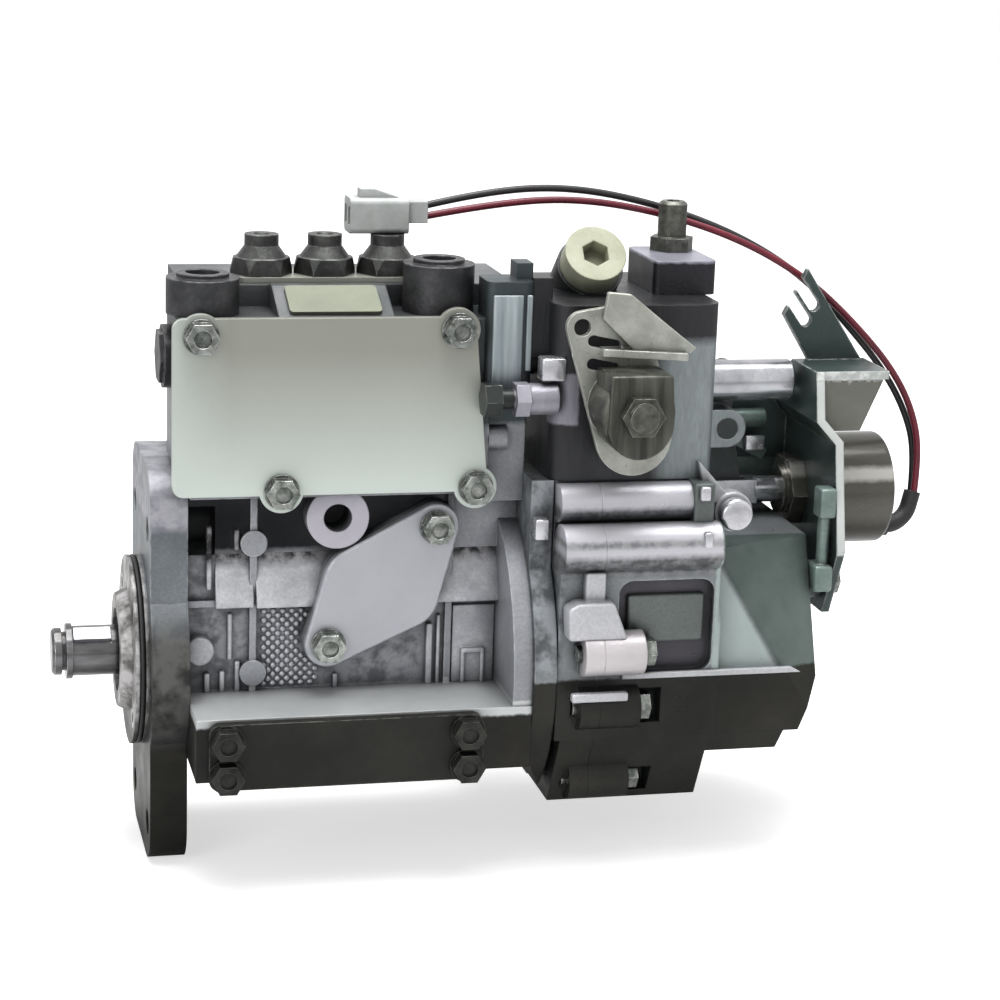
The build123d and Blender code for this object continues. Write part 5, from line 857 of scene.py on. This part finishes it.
# ---- Speed lever ----
WING = (
    (151.2, 138.8), (158.7, 138.4), (169.5, 129.6), (180.4, 121.0), (178.6, 119.2), (161.6, 117.9),
    (149.7, 129.7),
)
WING_FOLD_X = 152.0      # right of this the wing leans forward
WING_LEAN = 0.32
CUP_X = 159.4
CUP_R = 11.8
CUP_LOW_R = 12.6
CUP_Z = 97.0
CUP_TOP_Z = 113.4
CUP_STEPS = 16


def lever_details():
    """Sheet wing above the speed lever's hub, and the pressed cup round the hub."""
    wing = prism(WING, "Y", (-61.6, -59.2))
    for vert in wing.verts:
        vert.co.y -= WING_LEAN * max(0.0, vert.co.x - WING_FOLD_X * MM)
    make_piece("lever_wing", [wing], lever_skin, body="speed_lever")
    outline = [(148.4, CUP_TOP_Z), (148.0, CUP_Z)]
    for i in range(1, CUP_STEPS):
        turn = pi + pi * i / CUP_STEPS
        outline.append((CUP_X + CUP_R * cos(turn), CUP_Z + CUP_LOW_R * sin(turn)))
    outline += [(171.2, CUP_Z), (170.2, CUP_TOP_Z)]
    cup = prism(outline, "Y", (-79.6, -61.0), 1.0)
    make_piece("lever_cup", [cup], cup_skin, body="speed_lever")


# ---- Box beside the side cover ----
COLUMN_FRONT_Y = -40.5


def column_panel():
    face = (COLUMN_FRONT_Y - 0.9, COLUMN_FRONT_Y + 0.6)
    make_piece("column_panel", [
        box((116.4, 127.0), face, (99.5, 134.5)),
        box((128.2, 130.2), face, (108.0, 134.5), 0.4),
    ], panel_blue)


front_wall_relief()
bead_field()
governor_front()
linkage()
lever_details()
column_panel()


# ---- Floor, world and lamps ----
FLOOR_Z = -0.072
FLOOR_HALF = 4.0
PAPER = (0.84, 0.84, 0.84, 1)
PAPER_ROUGH = 0.9
PAPER_GLOSS = 0.1
WHITE = (1, 1, 1, 1)
GLOW_MIDDLE = (0.11, 0.0, FLOOR_Z)      # under the object, where the floor keeps its shadow
GLOW_NEAR = 0.10
GLOW_FAR = 0.45
GLOW_RANGE = (0.60, 1.0)
SKY_HEIGHTS = (-0.4, 0.9)
SKY_FILL = (0.06, 0.55)
# Name, place, what it points at, side, watts
LAMPS = (
    ("overhead", (0.10, -0.02, 1.0), (0.12, 0.0, 0.05), 0.8, 14.0),
    ("front_left", (-0.75, -0.85, 0.45), (0.1, 0.0, 0.05), 0.6, 3.0),
)


def make_floor():
    """Pale paper that looks white away from the object, to the camera alone."""
    size = FLOOR_HALF
    corners = [(x, y, FLOOR_Z) for x, y in ((-size, -size), (size, -size), (size, size), (-size, size))]
    mesh = bpy.data.meshes.new("floor")
    mesh.from_pydata(corners, [], [(0, 1, 2, 3)])
    floor = bpy.data.objects.new("floor", mesh)
    scene.collection.objects.link(floor)
    material, tree, shader = new_tree("floor_paper")
    shader.inputs["Base Color"].default_value = PAPER
    shader.inputs["Roughness"].default_value = PAPER_ROUGH
    shader.inputs["Specular IOR Level"].default_value = PAPER_GLOSS
    path = tree.nodes.new("ShaderNodeLightPath")
    place = tree.nodes.new("ShaderNodeNewGeometry")
    reach = tree.nodes.new("ShaderNodeVectorMath")
    reach.operation = "DISTANCE"
    tree.links.new(place.outputs["Position"], reach.inputs[0])
    reach.inputs[1].default_value = GLOW_MIDDLE
    glow = mapped(tree, reach.outputs["Value"], GLOW_NEAR, GLOW_FAR, *GLOW_RANGE)
    seen = arithmetic(tree, "MULTIPLY", path.outputs["Is Camera Ray"], glow)
    shader.inputs["Emission Color"].default_value = WHITE
    tree.links.new(seen, shader.inputs["Emission Strength"])
    floor.data.materials.append(material)


def make_world():
    """White to the camera, to gloss and through glass; soft light from above to everything else."""
    world = bpy.data.worlds.new("studio")
    world.use_nodes = True
    scene.world = world
    tree = world.node_tree
    tree.nodes.clear()
    output = tree.nodes.new("ShaderNodeOutputWorld")
    mix = tree.nodes.new("ShaderNodeMixShader")
    fill = tree.nodes.new("ShaderNodeBackground")
    white = tree.nodes.new("ShaderNodeBackground")
    white.inputs["Color"].default_value = WHITE
    coords = tree.nodes.new("ShaderNodeTexCoord")
    split = tree.nodes.new("ShaderNodeSeparateXYZ")
    tree.links.new(coords.outputs["Generated"], split.inputs["Vector"])
    shade = mapped(tree, split.outputs["Z"], *SKY_HEIGHTS, *SKY_FILL)
    tree.links.new(shade, fill.inputs["Strength"])
    path = tree.nodes.new("ShaderNodeLightPath")
    seen = arithmetic(tree, "MAXIMUM", path.outputs["Is Camera Ray"], path.outputs["Is Glossy Ray"])
    seen = arithmetic(tree, "MAXIMUM", seen, path.outputs["Is Transmission Ray"])
    tree.links.new(seen, mix.inputs["Fac"])
    tree.links.new(fill.outputs["Background"], mix.inputs[1])
    tree.links.new(white.outputs["Background"], mix.inputs[2])
    tree.links.new(mix.outputs["Shader"], output.inputs["Surface"])


def make_lamp(name, place, aim, side, watts):
    data = bpy.data.lights.new(name, "AREA")
    data.shape = "RECTANGLE"
    data.size = side
    data.size_y = side
    data.energy = watts
    lamp = bpy.data.objects.new(name, data)
    turn = (Vector(aim) - Vector(place)).to_track_quat("-Z", "Y").to_matrix().to_4x4()
    lamp.matrix_world = Matrix.Translation(place) @ turn
    scene.collection.objects.link(lamp)


make_floor()
make_world()
for settings in LAMPS:
    make_lamp(*settings)
